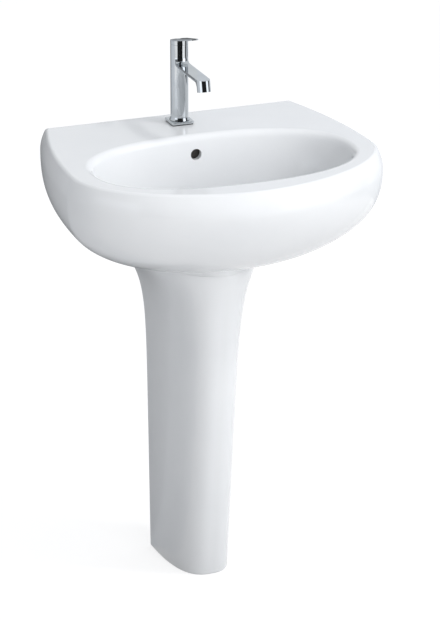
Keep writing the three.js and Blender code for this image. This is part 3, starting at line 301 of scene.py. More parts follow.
# Name, dark and light colour, roughness, metal, scale of the clouds, grain.
LOOKS = {
    "glaze": ("white_glaze", (0.775, 0.785, 0.795), (0.80, 0.808, 0.815), (0.03, 0.06),
              0, 9, (0.02, 0.0002)),
    "chrome": ("bright_chrome", (0.60, 0.625, 0.645), (0.66, 0.685, 0.70), (0.03, 0.06),
               1, 25, (0.02, 0.0001)),
    "brass": ("turned_brass", (0.42, 0.27, 0.08), (0.58, 0.40, 0.15), (0.22, 0.38), 1, 60, (0.15, 0.0002)),
    "zinc_steel": ("zinc_plated_steel", (0.42, 0.43, 0.44), (0.58, 0.58, 0.57), (0.25, 0.42),
                   1, 80, (0.2, 0.0002)),
    "black_rubber": ("black_rubber", (0.010, 0.010, 0.011), (0.022, 0.022, 0.024), (0.6, 0.8),
                     0, 90, (0.3, 0.0003)),
    "white_plastic": ("white_acetal", (0.70, 0.70, 0.68), (0.78, 0.78, 0.76), (0.32, 0.45),
                      0, 50, (0.1, 0.0002)),
    "grey_plastic": ("grey_plastic", (0.14, 0.15, 0.17), (0.19, 0.20, 0.22), (0.4, 0.55),
                     0, 50, (0.15, 0.0002)),
    "disc_ceramic": ("lapped_alumina", (0.66, 0.63, 0.56), (0.72, 0.69, 0.62), (0.15, 0.3),
                     0, 60, (0.05, 0.0001)),
    # Unglazed clay, with a near-black colour that is painted shade for the dark inside of the overflow's
    # duct.
    "bare_clay_and_painted_shade": ("bare_clay_and_painted_shade", (0.085, 0.08, 0.075), (0.12, 0.115, 0.105), (0.75, 0.9),
                  0, 120, (0.3, 0.0003)),
}
MATERIALS = {slot: make_material(*look) for slot, look in LOOKS.items()}
SHARP_ANGLES = {"glaze": 32, "chrome": 38}
SHARP_ANGLE = 40  # of the other slots


# ---- meshes

MERGE_DISTANCE = 1e-7  # metres
LEAST_TURN = 0.02  # radians: a flatter corner isn't rounded
MOST_CUT = 0.49  # share of a side that one rounded corner may take


def piece(name, vertices, faces):
    """A mesh object from points in millimetres, its doubled points merged and its faces turned out."""
    mesh = bpy.data.meshes.new(name)
    mesh.from_pydata([(x * MM, y * MM, z * MM) for x, y, z in vertices], [], faces)
    shape = bmesh.new()
    shape.from_mesh(mesh)
    bmesh.ops.remove_doubles(shape, verts=shape.verts, dist=MERGE_DISTANCE)
    bmesh.ops.recalc_face_normals(shape, faces=shape.faces)
    shape.to_mesh(mesh)
    shape.free()
    return add_object(name, mesh)


def loft(name, rings):
    """A closed skin through rings of points, capped at both ends."""
    count = len(rings[0])
    faces = []
    for level in range(len(rings) - 1):
        low, high = level * count, (level + 1) * count
        for i in range(count):
            j = (i + 1) % count
            faces.append((low + i, low + j, high + j, high + i))
    faces.append(tuple(reversed(range(count))))
    faces.append(tuple(range((len(rings) - 1) * count, len(rings) * count)))
    return piece(name, [point for ring in rings for point in ring], faces)


def rounding(steps, first=0):
    """1 - sine, which falls to 0, and 1 - cosine, which rises to 1, over a quarter turn."""
    angles = [pi / 2 * share for share in shares(steps, first)]
    return [(1 - sin(angle), 1 - cos(angle)) for angle in angles]


def circle(count, radius):
    angles = [2 * pi * i / count for i in range(count)]
    return [(radius * cos(angle), radius * sin(angle)) for angle in angles]


def rounded(points, radius, closed, steps=4):
    """An outline with its corners turned into arcs. A point with a third value has its own radius."""
    out = []
    count = len(points)
    for i, point in enumerate(points):
        here = Vector(point[:2])
        own = point[2] if len(point) > 2 else radius
        to_before = Vector(points[i - 1][:2]) - here
        to_after = Vector(points[(i + 1) % count][:2]) - here
        end_point = not closed and i in (0, count - 1)
        sharp = end_point or own <= 0 or min(to_before.length, to_after.length) < 1e-6
        angle = pi if sharp else to_before.angle(to_after)
        if angle > pi - LEAST_TURN:
            out.append(tuple(here))
            continue
        cut = min(own / tan(angle / 2), MOST_CUT * to_before.length, MOST_CUT * to_after.length)
        start, end = here + to_before.normalized() * cut, here + to_after.normalized() * cut
        for share in shares(steps):
            out.append(tuple(start.lerp(here, share).lerp(here.lerp(end, share), share)))
    return out


def turned(name, profile, radius=0.4, centre=(0, 0, 0), axis="Z", segments=72):
    """A profile of radius and height, turned round an axis through the centre. Height runs along +Z,
    or along -Y, away from the wall. A profile that starts off the axis closes on itself."""
    on_axis = profile[0][0] == 0
    outline = rounded(profile, radius, not on_axis)
    count = len(outline)
    vertices, faces = [], []
    for cosine, sine in circle(segments, 1):
        vertices += [(r * cosine, r * sine, h) for r, h in outline]
    for s in range(segments):
        here, there = s * count, ((s + 1) % segments) * count
        for i in range(count - 1 if on_axis else count):
            j = (i + 1) % count
            if outline[i][0] or outline[j][0]:
                faces.append((here + i, there + i, there + j, here + j))
    if axis == "Y":
        vertices = [(x, -z, y) for x, y, z in vertices]
    vertices = [(x + centre[0], y + centre[1], z + centre[2]) for x, y, z in vertices]
    return piece(name, vertices, faces)


def prism(name, outline, low, high, edge=0.0, steps=3):
    """An outline in X and Y raised between two heights, with its top and bottom edges rounded."""
    middle = Vector((sum(p[0] for p in outline) / len(outline), sum(p[1] for p in outline) / len(outline)))
    half = max((Vector(p) - middle).length for p in outline)

    def level(height, inset):
        share = 1 - inset / half
        return [(*(middle + (Vector(p) - middle) * share), height) for p in outline]

    rings = [level(low, 0), level(high, 0)]
    if edge:
        rings = [level(low + edge * rise, edge * fall) for fall, rise in rounding(steps)]
        rings += [level(high - edge * fall, edge * rise) for fall, rise in rounding(steps)]
    return loft(name, rings)


def rounded_square(size, corner, steps):
    half = size / 2 - corner
    points = []
    for cx, cy, start in ((half, half, 0), (-half, half, 90), (-half, -half, 180), (half, -half, 270)):
        for angle in (radians(start + 90 * share) for share in shares(steps)):
            points.append((cx + corner * cos(angle), cy + corner * sin(angle)))
    return points


def tube(name, inner, outer, low, high, edge=0.3, segments=72, axis="Z"):
    profile = [(inner, low), (outer, low), (outer, high), (inner, high)]
    return turned(name, profile, edge, (0, 0, 0), axis, segments)


def rod(name, radius, low, high, centre=(0, 0, 0), axis="Z", segments=64, edge=0.0):
    return turned(name, [(0, low), (radius, low), (radius, high), (0, high)], edge, centre, axis, segments)


def block(name, low, high):
    outline = [(low[0], low[1]), (high[0], low[1]), (high[0], high[1]), (low[0], high[1])]
    return loft(name, [[(x, y, z) for x, y in outline] for z in (low[2], high[2])])


def modify(obj, kind, **settings):
    """Runs a modifier and keeps its result as the object's mesh."""
    modifier = obj.modifiers.new(kind, kind)
    for key, value in settings.items():
        setattr(modifier, key, value)
    bpy.context.view_layer.update()
    graph = bpy.context.evaluated_depsgraph_get()
    mesh = bpy.data.meshes.new_from_object(obj.evaluated_get(graph))
    obj.modifiers.clear()
    obj.data = mesh


def combine(obj, others, operation="DIFFERENCE"):
    """Cuts, joins or trims obj with other solids, which are used up."""
    for other in others:
        modify(obj, "BOOLEAN", operation=operation, solver="EXACT", object=other)
        bpy.data.objects.remove(other)
    return obj


def bevel(obj, width, angle=40):
    modify(obj, "BEVEL", width=width * MM, segments=2, limit_method="ANGLE",
           angle_limit=radians(angle), use_clamp_overlap=True, miter_outer="MITER_ARC")


def moved(obj, matrix):
    obj.data.transform(matrix)
    return obj


def placed(obj, place):
    return moved(obj, Matrix.Translation(Vector(place) * MM))


def finished(obj, slot, solid, place=(0, 0, 0), body="root", angle=None):
    """Sets a piece in place and gives it its material and its body (None leaves it without one, as for
    a piece that bends between two), and hides its solid. Edges sharper than the angle stay sharp."""
    placed(obj, place)
    obj.data.materials.clear()
    obj.data.materials.append(MATERIALS[slot])
    obj.data.shade_smooth()
    obj.data.set_sharp_from_angle(angle=radians(angle or SHARP_ANGLES.get(slot, SHARP_ANGLE)))
    normals = obj.modifiers.new("normals", "WEIGHTED_NORMAL")
    normals.keep_sharp = True
    normals.weight = 60
    if body:
        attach(obj, body)
    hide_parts(solid)
    return obj


def box_of(node):
    low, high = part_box(node)
    return low / MM, high / MM


# ---- basin

# Distances forwards count from the wall, and drops count from the rim.
BASIN_LOW, BASIN_HIGH = box_of("basin")
RIM = BASIN_HIGH.z
WALL_Y = BASIN_HIGH.y
BASIN_DEPTH = BASIN_HIGH.y - BASIN_LOW.y

BULGE = 12  # how far the side stands out past the rim, in full at the next drop
BULGE_DROP = 40
RIM_HALF_WIDTH = BASIN_HIGH.x - BULGE
RIM_FRONT = BASIN_DEPTH - BULGE
BACK_HALF_WIDTH = 241.5
WIDEST_FROM_WALL = 289
FRONT_ROUNDNESS = 1.83  # exponent of the superellipse
BODY_DROP = 197
UNDERSIDE_HALF_WIDTH = 110
UNDERSIDE_FRONT = 241
UNDERSIDE_BOW = 0.03  # share of the overhang that stays at the bottom
SIDE_SWEEP = (2.8, 1.37)  # two exponents, as in the bowl's curves below
FRONT_SWEEP = (1.3, 3.3)
SKIN = 9
BACK_WALL = 14
DECK = 14
RIM_EDGE = 4.5  # radius of the rim's outer edge

BOWL_HALF_WIDTH = 241
BOWL_BACK = 141
BOWL_FRONT = 420
BOWL_SQUARENESS = 0.35  # how far the oval's exponent stands above 2 at the rim
BOWL_DEPTH = 148
BOWL_SIDE_CURVE = (2.4, 2.2)
BOWL_BACK_CURVE = (1.3, 2)
BOWL_FRONT_CURVE = (2, 2)
BOWL_SHELL = 9
LIP_RADIUS = 13
LIP_STEPS = 9
DRAIN_FROM_WALL = 200
DRAIN_SEAT_RADIUS = 33.5
DRAIN_SEAT_DEPTH = 3
DRAIN_HOLE = 23
DRAIN_BOSS = 38
DRAIN_BOSS_HEIGHT = 28

OVERFLOW_RADIUS = 10.5
OVERFLOW_DROP = 36
DUCT_WIDTH = 40
DUCT_GAP = 9
DUCT_PLAY = 0.5  # round the duct, within which a face counts as its wall

FIXING_HALF_SPACING = 140
FIXING_DROP = 85
FIXING_HOLE = 8
ACCESS_HALF_WIDTH = 105
ACCESS_DROP = 50
BEHIND_HALF_WIDTH = UNDERSIDE_HALF_WIDTH * 0.75
TAP_FROM_WALL = 56
TAP_HOLE = 17.5

PEDESTAL_TOP = box_of("pedestal")[1].z
PEDESTAL_FROM_WALL = 51
COLLAR = 5  # how far up the basin's neck the pedestal's flare goes on
FOOT_HALF_WIDTH = 61.4
FOOT_DEPTH = 165
FOOT_EDGE = 3
TOP_EXTRA_WIDTH = 7.4
TOP_EXTRA_DEPTH = 78
FLARE_WIDTH = 67.8
FLARE_LENGTH = 46
FOOT_SQUARENESS = 2.74  # exponents of the superellipse
TOP_SQUARENESS = 1.8
PEDESTAL_WALL = 13
PEDESTAL_LIP = 14
PEDESTAL_BACK = 14

UNDERSIDE = RIM - BODY_DROP
BOWL_FLOOR = RIM - BOWL_DEPTH
OVERFLOW_Z = RIM - OVERFLOW_DROP
DRAIN_SEAT = BOWL_FLOOR - DRAIN_SEAT_DEPTH
BOSS_BOTTOM = DRAIN_SEAT - DRAIN_BOSS_HEIGHT
DUCT_BACK = BOWL_BACK - BOWL_SHELL - DUCT_GAP
HOLLOW_BACK = PEDESTAL_FROM_WALL + PEDESTAL_BACK


def from_wall(distance):
    return WALL_Y - distance


DRAIN_Y = from_wall(DRAIN_FROM_WALL)


def quarter(share, exponent):
    """A point on a quarter of a superellipse, from the side round to the front."""
    angle = share * pi / 2
    return max(0.0, cos(angle)) ** (2 / exponent), max(0.0, sin(angle)) ** (2 / exponent)


def sweep(share, exponents):
    return max(0.0, 1 - min(1.0, share) ** exponents[0]) ** (1 / exponents[1])


def eased(low, high, count, power=2.0):
    """Steps from low to high that crowd towards high."""
    return [low + (high - low) * (1 - (1 - share) ** power) for share in shares(count)]


def mirrored(half, height):
    """A full ring from its right half, given as half width and distance from the wall."""
    left = [(-x, from_wall(d), height) for x, d in half]
    right = [(x, from_wall(d), height) for x, d in reversed(half[:-1])]
    return left + right


def rim_half(side_steps, front_steps):
    """Right half of the rim's outline, as half width and distance from the wall."""
    points = []
    for share in shares(side_steps)[:-1]:
        width = BACK_HALF_WIDTH + (RIM_HALF_WIDTH - BACK_HALF_WIDTH) * (1 - (1 - share) ** 2)
        points.append((width, WIDEST_FROM_WALL * share))
    for share in shares(front_steps):
        across, forward = quarter(share, FRONT_ROUNDNESS)
        points.append((RIM_HALF_WIDTH * across, WIDEST_FROM_WALL + (RIM_FRONT - WIDEST_FROM_WALL) * forward))
    return points


def inset_half(half, inset):
    """The half outline drawn in along its normals. It keeps to the wall and to the middle."""
    out = []
    for i, (x, d) in enumerate(half):
        ax, ad = half[max(0, i - 1)]
        bx, bd = half[i + 1] if i < len(half) - 1 else (-ax, ad)
        length = hypot(bx - ax, bd - ad)
        nx, nd = (bd - ad) / length, -(bx - ax) / length
        out.append((max(0.0, x - nx * inset), max(inset, d - nd * inset)))
    return out


def body_ring(drop, wall, back, rim):
    """The body's outline at a drop below the rim, a wall's thickness inside its skin."""
    below = max(0.0, (drop - BULGE_DROP) / (BODY_DROP - wall - BULGE_DROP))
    above = max(0.0, 1 - drop / BULGE_DROP)
    out = BULGE * (1 - above ** 2) - wall
    inwards = max(UNDERSIDE_BOW, sweep(below, SIDE_SWEEP))
    backwards = max(UNDERSIDE_BOW, sweep(below, FRONT_SWEEP))
    half = []
    for x, distance in rim:
        forward = max(0.0, (distance - WIDEST_FROM_WALL) / (RIM_FRONT - WIDEST_FROM_WALL))
        neck = UNDERSIDE_HALF_WIDTH * x / RIM_HALF_WIDTH
        width = neck + (x + out * min(1, x / BULGE) - neck) * inwards
        reach = max(back, distance + out * forward)
        half.append((width, min(reach, UNDERSIDE_FRONT + (reach - UNDERSIDE_FRONT) * backwards)))
    if drop < RIM_EDGE:
        half = inset_half(half, RIM_EDGE - sqrt(RIM_EDGE ** 2 - (RIM_EDGE - drop) ** 2))
    return mirrored(half, RIM - drop)


def bowl_ring(drop, grow, steps, height=None):
    """The bowl's oval at a drop below the rim, grown on all sides."""
    share = min(1, max(0, drop / (BOWL_DEPTH + grow)))
    floor = DRAIN_SEAT_RADIUS + 1 + grow

    def blend(top, bottom, curve):
        return bottom + (top - bottom) * sweep(share, curve)

    half_width = blend(BOWL_HALF_WIDTH + grow, floor, BOWL_SIDE_CURVE)
    back = blend(BOWL_BACK - grow, DRAIN_FROM_WALL - floor, BOWL_BACK_CURVE)
    front = blend(BOWL_FRONT + grow, DRAIN_FROM_WALL + floor, BOWL_FRONT_CURVE)
    z = RIM - drop if height is None else height
    power = 2 / (2 + BOWL_SQUARENESS * (1 - share))
    points = []
    for point in circle(steps, 1):
        across, along = (copysign(abs(value) ** power, value) for value in point)
        points.append((half_width * across, from_wall((back + front) / 2) + (front - back) / 2 * along, z))
    return points


def bowl_cutter(steps=180, levels=40):
    """The hollow of the bowl, with its rounded lip."""
    rings = [bowl_ring(drop, 0, steps) for drop in reversed(eased(LIP_RADIUS, BOWL_DEPTH, levels, 1.8))]
    for k, (fall, rise) in enumerate(rounding(LIP_STEPS, 1), 1):
        like = LIP_RADIUS * (1 - k / LIP_STEPS)
        rings.append(bowl_ring(like, LIP_RADIUS * rise, steps, RIM - LIP_RADIUS * fall))
    rings.append([(x, y, RIM + 2) for x, y, _ in rings[-1]])
    return loft("bowl_cutter", rings)


def pedestal_size(height):
    flare = exp((height - PEDESTAL_TOP) / FLARE_LENGTH)
    share = height / PEDESTAL_TOP
    return (
        FOOT_HALF_WIDTH + TOP_EXTRA_WIDTH * share + FLARE_WIDTH * flare,
        FOOT_DEPTH + TOP_EXTRA_DEPTH * share,
        FOOT_SQUARENESS + (TOP_SQUARENESS - FOOT_SQUARENESS) * flare,
    )


def pedestal_ring(like, height, wall=0, back=PEDESTAL_FROM_WALL, steps=48):
    """The pedestal's outline as it is at one height, a wall's thickness inside its skin, at another."""
    half_width, depth, squareness = pedestal_size(like)
    reach = depth - wall - (back - PEDESTAL_FROM_WALL)
    half = []
    for share in shares(steps):
        across, forward = quarter(share, squareness)
        half.append(((half_width - wall) * across, back + reach * forward))
    return mirrored(half, height)


def hollow_ring(like, height):
    return pedestal_ring(like, height, PEDESTAL_WALL, HOLLOW_BACK, 30)


def back_slot_ring(like, height):
    half_width = pedestal_size(like)[0] - PEDESTAL_WALL - PEDESTAL_LIP
    front = HOLLOW_BACK + OVER
    return mirrored([(half_width, PEDESTAL_FROM_WALL - OVER), (half_width, front), (0, front)], height)


def duct(name, wall):
    """The overflow's channel: down behind the bowl and forward to the drain."""
    back, front = DUCT_BACK - wall, BOWL_BACK - DUCT_GAP + wall
    top = OVERFLOW_Z + OVERFLOW_RADIUS + wall
    bottom = BOSS_BOTTOM + BOWL_SHELL - wall
    step = bottom + DUCT_GAP + 2 * wall
    drain = DRAIN_FROM_WALL - DRAIN_HOLE + OVER
    outline = [(back, top), (back, bottom), (drain, bottom), (drain, step), (front, step), (front, top)]
    half = DUCT_WIDTH / 2 + wall
    return loft(name, [[(x, from_wall(d), z) for d, z in outline] for x in (-half, half)])


def neck_shapes():
    """The neck that stands on the pedestal, its hollow and the slot at its back."""
    neck_low, neck_high = PEDESTAL_TOP + CLEARANCE, UNDERSIDE + SKIN / 2
    rings = []
    for height in (neck_low + (neck_high - neck_low) * share for share in shares(12)):
        rings.append(pedestal_ring(min(height, PEDESTAL_TOP + COLLAR), height))
    neck = loft("neck", rings)
    heights = (PEDESTAL_TOP - OVER, UNDERSIDE + SKIN * 1.5)
    hollow = loft("neck_hollow", [hollow_ring(min(z, PEDESTAL_TOP + COLLAR), z) for z in heights])
    heights = (PEDESTAL_TOP - OVER, PEDESTAL_TOP, UNDERSIDE + SKIN / 2)
    slot = loft("neck_slot", [back_slot_ring(min(z, PEDESTAL_TOP), z) for z in heights])
    return neck, hollow, slot


def body_hollow():
    """The space under the deck and round the bowl, less the bowl's shell, the boss and the duct."""
    coarse = rim_half(16, 24)
    drops = [DECK + (BODY_DROP - SKIN - DECK) * share ** 0.7 for share in shares(16)]
    hollow = loft("cavity", [body_ring(drop, SKIN, BACK_WALL, coarse) for drop in reversed(drops)])
    drops = eased(0, BOWL_DEPTH + BOWL_SHELL, 20, 1.8)
    shell = loft("shell", [bowl_ring(drop, BOWL_SHELL, 72) for drop in reversed(drops)])
    boss = rod("boss", DRAIN_BOSS, BOSS_BOTTOM, BOWL_FLOOR, (0, DRAIN_Y, 0))
    return combine(hollow, [shell, boss, duct("duct_wall", BOWL_SHELL)])


def basin_holes():
    """The drain, the overflow, the tap hole, the fixing holes and the openings to the wall."""
    overflow_from, overflow_to = BOWL_BACK + BOWL_SHELL * 2, BOWL_BACK - BOWL_SHELL - DUCT_GAP / 2
    past_wall, inside_back, past_floor = from_wall(-OVER), from_wall(BACK_WALL + OVER), BOWL_FLOOR + OVER
    holes = [
        duct("duct", 0),
        rod("overflow", OVERFLOW_RADIUS, -from_wall(overflow_to), -from_wall(overflow_from),
            (0, 0, OVERFLOW_Z), "Y", 48),
        rod("drain", DRAIN_HOLE, BOSS_BOTTOM - OVER, past_floor, (0, DRAIN_Y, 0)),
        rod("seat", DRAIN_SEAT_RADIUS, DRAIN_SEAT, past_floor, (0, DRAIN_Y, 0)),
        rod("tap_hole", TAP_HOLE, RIM - DECK * 2, RIM + OVER, (0, from_wall(TAP_FROM_WALL), 0), "Z", 48),
        block("access", (-ACCESS_HALF_WIDTH, inside_back, PEDESTAL_TOP),
              (ACCESS_HALF_WIDTH, past_wall, RIM - ACCESS_DROP)),
        block("behind", (-BEHIND_HALF_WIDTH, from_wall(HOLLOW_BACK + OVER), PEDESTAL_TOP),
              (BEHIND_HALF_WIDTH, past_wall, UNDERSIDE + SKIN + OVER)),
    ]
    for side in (-1, 1):
        holes.append(rod("fixing_hole", FIXING_HOLE, -past_wall, -inside_back,
                         (side * FIXING_HALF_SPACING, 0, RIM - FIXING_DROP), "Y", 40))
    return holes


def make_basin():
    rim = rim_half(40, 60)
    drops = list(reversed(eased(BULGE_DROP, BODY_DROP, 46, 1.9)))
    drops += [BULGE_DROP + (RIM_EDGE - BULGE_DROP) * share for share in shares(8, 1)]
    drops += [RIM_EDGE * fall for fall, _ in rounding(6, 1)]
    body = loft("basin_ware", [body_ring(drop, 0, 0, rim) for drop in drops])
    neck, neck_hollow, neck_slot = neck_shapes()
    combine(body, [neck], "UNION")
    combine(body, [body_hollow(), neck_hollow, neck_slot, bowl_cutter(), *basin_holes()])
    line_duct(finished(body, "glaze", "basin"))


def line_duct(basin):
    """Glaze doesn't reach into the overflow's duct, so its walls stay bare clay. Their near-black colour is
    painted shade for the duct's dark inside.
    """
    basin.data.materials.append(MATERIALS["bare_clay_and_painted_shade"])
    half, top = DUCT_WIDTH / 2 + DUCT_PLAY, OVERFLOW_Z + OVERFLOW_RADIUS + DUCT_PLAY
    back, front = from_wall(DUCT_BACK - DUCT_PLAY), from_wall(BOWL_BACK - DUCT_PLAY)
    for face in basin.data.polygons:
        x, y, z = face.center / MM
        in_duct = abs(x) < half and front < y < back and BOSS_BOTTOM < z < top
        in_hole = hypot(x, z - OVERFLOW_Z) < OVERFLOW_RADIUS + DUCT_PLAY and y < front + BOWL_SHELL - 2
        if in_duct and not in_hole:
            # painted shade: the duct's faces take the near-black clay
            face.material_index = 1


# ---- pedestal


def make_pedestal():
    rings = [pedestal_ring(0, FOOT_EDGE * rise, FOOT_EDGE * fall) for fall, rise in rounding(5)]
    rings += [pedestal_ring(height, height) for height in eased(FOOT_EDGE, PEDESTAL_TOP, 60, 1.7)[1:]]
    body = loft("pedestal_ware", rings)
    heights = [-OVER] + eased(0, PEDESTAL_TOP, 20, 1.7)[1:] + [PEDESTAL_TOP + OVER]
    hollow = loft("hollow", [hollow_ring(z, z) for z in heights])
    slot = loft("slot", [back_slot_ring(z, z) for z in heights])
    combine(body, [hollow, slot])
    finished(body, "glaze", "pedestal")


# ---- mixer tap

# Heights here count from the deck, and Y from the tap's own axis.
TAP = Vector((0, from_wall(TAP_FROM_WALL), RIM))
PLATE_SIZE = 43
PLATE_CORNER = 4
PLATE_BOTTOM = 1.8
PLATE_TOP = 6.3
PLATE_EDGE = 0.9
GASKET_SIZE = 41
GASKET_CORNER = 3.5
GASKET_TOP = 1.5
COLUMN_FOOT = 6.6
COLUMN_RADIUS = 16.5
COLUMN_FLARE = 2.2
FLARE_CURVE = 2.2
FLARE_EDGE = 0.4
FLARE_HEIGHT = 8
HEAD_HEIGHT = 152
WAIST_RADIUS = 16.1
WAIST_HEIGHT = 129
SPOUT_TOP = 118
SPOUT_HALF_WIDTH = 12.5
SPOUT_THICKNESS = 13
SPOUT_REACH = 123
SPOUT_FILLET = 10
SPOUT_BEND = 8  # inner radius where the spout turns down into the outlet
OUTLET_DROP = 23
OUTLET_TILT = 13
CHANNEL_RADIUS = 3.5
LEVER_BACK_HEIGHT = 156.5
LEVER_SLOPE = 14.6
LEVER_REACH = 82
LEVER_TIP_HALF_WIDTH = 8
LEVER_TIP_CORNER = LEVER_TIP_HALF_WIDTH * 0.6
LEVER_THICKNESS = 3.6
LEVER_TIP_THICKNESS = 2.6
LEVER_EDGE = 0.7
CARTRIDGE_RADIUS = 12.8
BORE_FLOOR = SPOUT_TOP - 2
NUT_TOP = 146
MOVING_DISC_TOP = 127.8
STEM_WIDTH = 6
STEM_ARM = 6.1
STEM_LEAN = 10
PIVOT = MOVING_DISC_TOP + STEM_ARM * cos(radians(STEM_LEAN))
DOME_RADIUS = hypot(COLUMN_RADIUS, HEAD_HEIGHT - PIVOT)
BOSS_RADIUS = 8.5
SCREW_HOLE = 1.55
INLETS = ((-6.2, 4.5), (6.2, 4.5))
OUTLET_PORT = (0, -6, 0)
PORT_RADIUS = 2.4
AERATOR_RADIUS = 9.9
AERATOR_WALL = 1.7
AERATOR_LENGTH = 9.6
NOTCH_HALF_WIDTH = 1
NOTCH_DEPTH = 1.1
JET_RADIUS = 0.65
JET_RINGS = ((6, 2.6), (12, 5.4))  # how many jets, and the radius of their ring
STUD_OFFSET = -9
STUD_RADIUS = 4
TAIL_RADIUS = 5
TAIL_BORE = 3.2
SOCKET_DEPTH = 14
OVERLAP = 0.05  # of two joined shapes whose faces would otherwise lie in one plane
PAST = 40  # half width of a cutter that reaches past the tap


def onto_outlet(obj):
    """Sets a shape drawn round Z, with its mouth at height 0, on the outlet's leaning axis."""
    return moved(obj, Matrix.Translation(Vector((0, -SPOUT_REACH, SPOUT_TOP)) * MM)
                 @ Matrix.Rotation(radians(-OUTLET_TILT), 4, "X")
                 @ Matrix.Translation((0, 0, -OUTLET_DROP * MM)))


def onto_stem(obj):
    """Sets a shape drawn round Z, with the pivot at height 0, on the leaning stem."""
    lean = Matrix.Rotation(radians(STEM_LEAN), 4, "X")
    return moved(obj, Matrix.Translation((0, 0, PIVOT * MM)) @ lean)


def dome(extra):
    """The ball round the pivot on which the lever's underside turns."""
    radius, steps = DOME_RADIUS + extra, 40
    profile = [(0, -radius)]
    for angle in (pi * share for share in shares(steps)[1:-1]):
        profile.append((radius * sin(angle), -radius * cos(angle)))
    return turned("dome", profile + [(0, radius)], 0, (0, 0, PIVOT), segments=96)


def spout_bend():
    """The turn from the level spout into the outlet, as one swept section, and where it starts."""
    tilt, steps, half = radians(OUTLET_TILT), 16, SPOUT_HALF_WIDTH
    z = SPOUT_TOP - SPOUT_THICKNESS - SPOUT_BEND
    y = -SPOUT_REACH + (SPOUT_BEND + half + (z - SPOUT_TOP) * sin(tilt)) / cos(tilt)
    rings = []
    for share in shares(steps):
        turn = share * (pi / 2 - tilt)
        depth = SPOUT_THICKNESS + (half - SPOUT_THICKNESS) * share
        ring = []
        for cosine, sine in circle(64, 1):
            out = SPOUT_BEND + depth + sine * (half if sine > 0 else depth)
            ring.append((half * cosine, y - out * sin(turn), z + out * cos(turn)))
        rings.append(ring)
    return loft("bend", rings), y


def make_spout():
    bend, bend_y = spout_bend()
    section = [(SPOUT_HALF_WIDTH, SPOUT_TOP)]
    for angle in (pi * share for share in shares(40)[1:-1]):
        section.append((SPOUT_HALF_WIDTH * cos(angle), SPOUT_TOP - SPOUT_THICKNESS * sin(angle)))
    section.append((-SPOUT_HALF_WIDTH, SPOUT_TOP))
    spout = loft("spout", [[(x, y, z) for x, z in section] for y in (bend_y, 0)])
    outlet = onto_outlet(rod("outlet", SPOUT_HALF_WIDTH, 0, OUTLET_DROP + 8, segments=96))
    combine(spout, [bend, outlet], "UNION")
    above = block("above", (-PAST, -SPOUT_REACH * 1.5, SPOUT_TOP), (PAST, PAST, HEAD_HEIGHT * 1.2))
    return combine(spout, [above])


def head_front():
    """The head's hollowed front, turned round the column's axis from the spout's top up."""
    start, side = COLUMN_RADIUS + SPOUT_FILLET, COLUMN_RADIUS - OVERLAP
    profile = [(0, SPOUT_TOP - 1), (start, SPOUT_TOP - 1)]
    for fall, rise in rounding(20):
        profile.append((WAIST_RADIUS + (start - WAIST_RADIUS) * fall,
                        SPOUT_TOP + (WAIST_HEIGHT - SPOUT_TOP) * rise))
    for share in shares(8, 1):
        profile.append((WAIST_RADIUS + (side - WAIST_RADIUS) * share ** 2,
                        WAIST_HEIGHT + (HEAD_HEIGHT - WAIST_HEIGHT) * share))
    profile += [(side, HEAD_HEIGHT + 4), (0, HEAD_HEIGHT + 4)]
    front = turned("front", profile, 0, segments=128)
    zone = block("zone", (-SPOUT_HALF_WIDTH, -SPOUT_REACH, 0), (SPOUT_HALF_WIDTH, OVERLAP, HEAD_HEIGHT * 2))
    return combine(front, [zone], "INTERSECT")


def tap_bores():
    """The bores for the cartridge, the aerator, the two inlet tails and the stud, and the ways between."""
    inside, socket_top = COLUMN_FOOT - OVER, COLUMN_FOOT + SOCKET_DEPTH
    channel_height = SPOUT_TOP - SPOUT_THICKNESS / 2
    bores = [
        rod("bore", CARTRIDGE_RADIUS + CLEARANCE, BORE_FLOOR, HEAD_HEIGHT + LEVER_THICKNESS * 2 + OVER),
        onto_outlet(rod("mouth", AERATOR_RADIUS + CLEARANCE, -OVER, AERATOR_LENGTH + 3)),
        rod("channel", CHANNEL_RADIUS, 3, SPOUT_REACH, (0, 0, channel_height), "Y", 32),
        rod("outlet_port", PORT_RADIUS, channel_height, BORE_FLOOR + OVER, OUTLET_PORT, segments=24),
        rod("stud_hole", STUD_RADIUS + CLEARANCE, inside, socket_top, (0, STUD_OFFSET, 0), segments=32),
    ]
    for x, y in INLETS:
        bores.append(rod("tail_hole", TAIL_RADIUS + CLEARANCE, inside, socket_top, (x, y, 0), segments=32))
        bores.append(rod("inlet", TAIL_BORE, COLUMN_FOOT, BORE_FLOOR + OVER, (x, y, 0), segments=24))
    return bores


def make_tap_body():
    flared, flare_low = COLUMN_RADIUS + COLUMN_FLARE, COLUMN_FOOT + FLARE_EDGE
    profile = [(0, COLUMN_FOOT), (flared - FLARE_EDGE, COLUMN_FOOT), (flared, flare_low)]
    for share in shares(10, 1):
        profile.append((COLUMN_RADIUS + COLUMN_FLARE * (1 - share) ** FLARE_CURVE,
                        flare_low + FLARE_HEIGHT * share))
    top = HEAD_HEIGHT + LEVER_THICKNESS * 2
    body = turned("tap_ware", profile + [(COLUMN_RADIUS, top), (0, top)], 0, segments=128)
    spout = make_spout()
    inside = SPOUT_HALF_WIDTH - OVERLAP
    low, high = (-inside, -SPOUT_REACH, SPOUT_TOP - OVERLAP), (inside, -OVERLAP, HEAD_HEIGHT + 3)
    combine(body, [block("replaced", low, high)])
    combine(body, [head_front(), spout], "UNION")
    ball = dome(0)
    combine(ball, [block("low", (-PAST, -SPOUT_REACH * 1.5, 0), (PAST, PAST, PIVOT))], "UNION")
    combine(body, [ball], "INTERSECT")
    combine(body, tap_bores())
    bevel(body, 0.35)
    finished(body, "chrome", "tap_body", TAP)


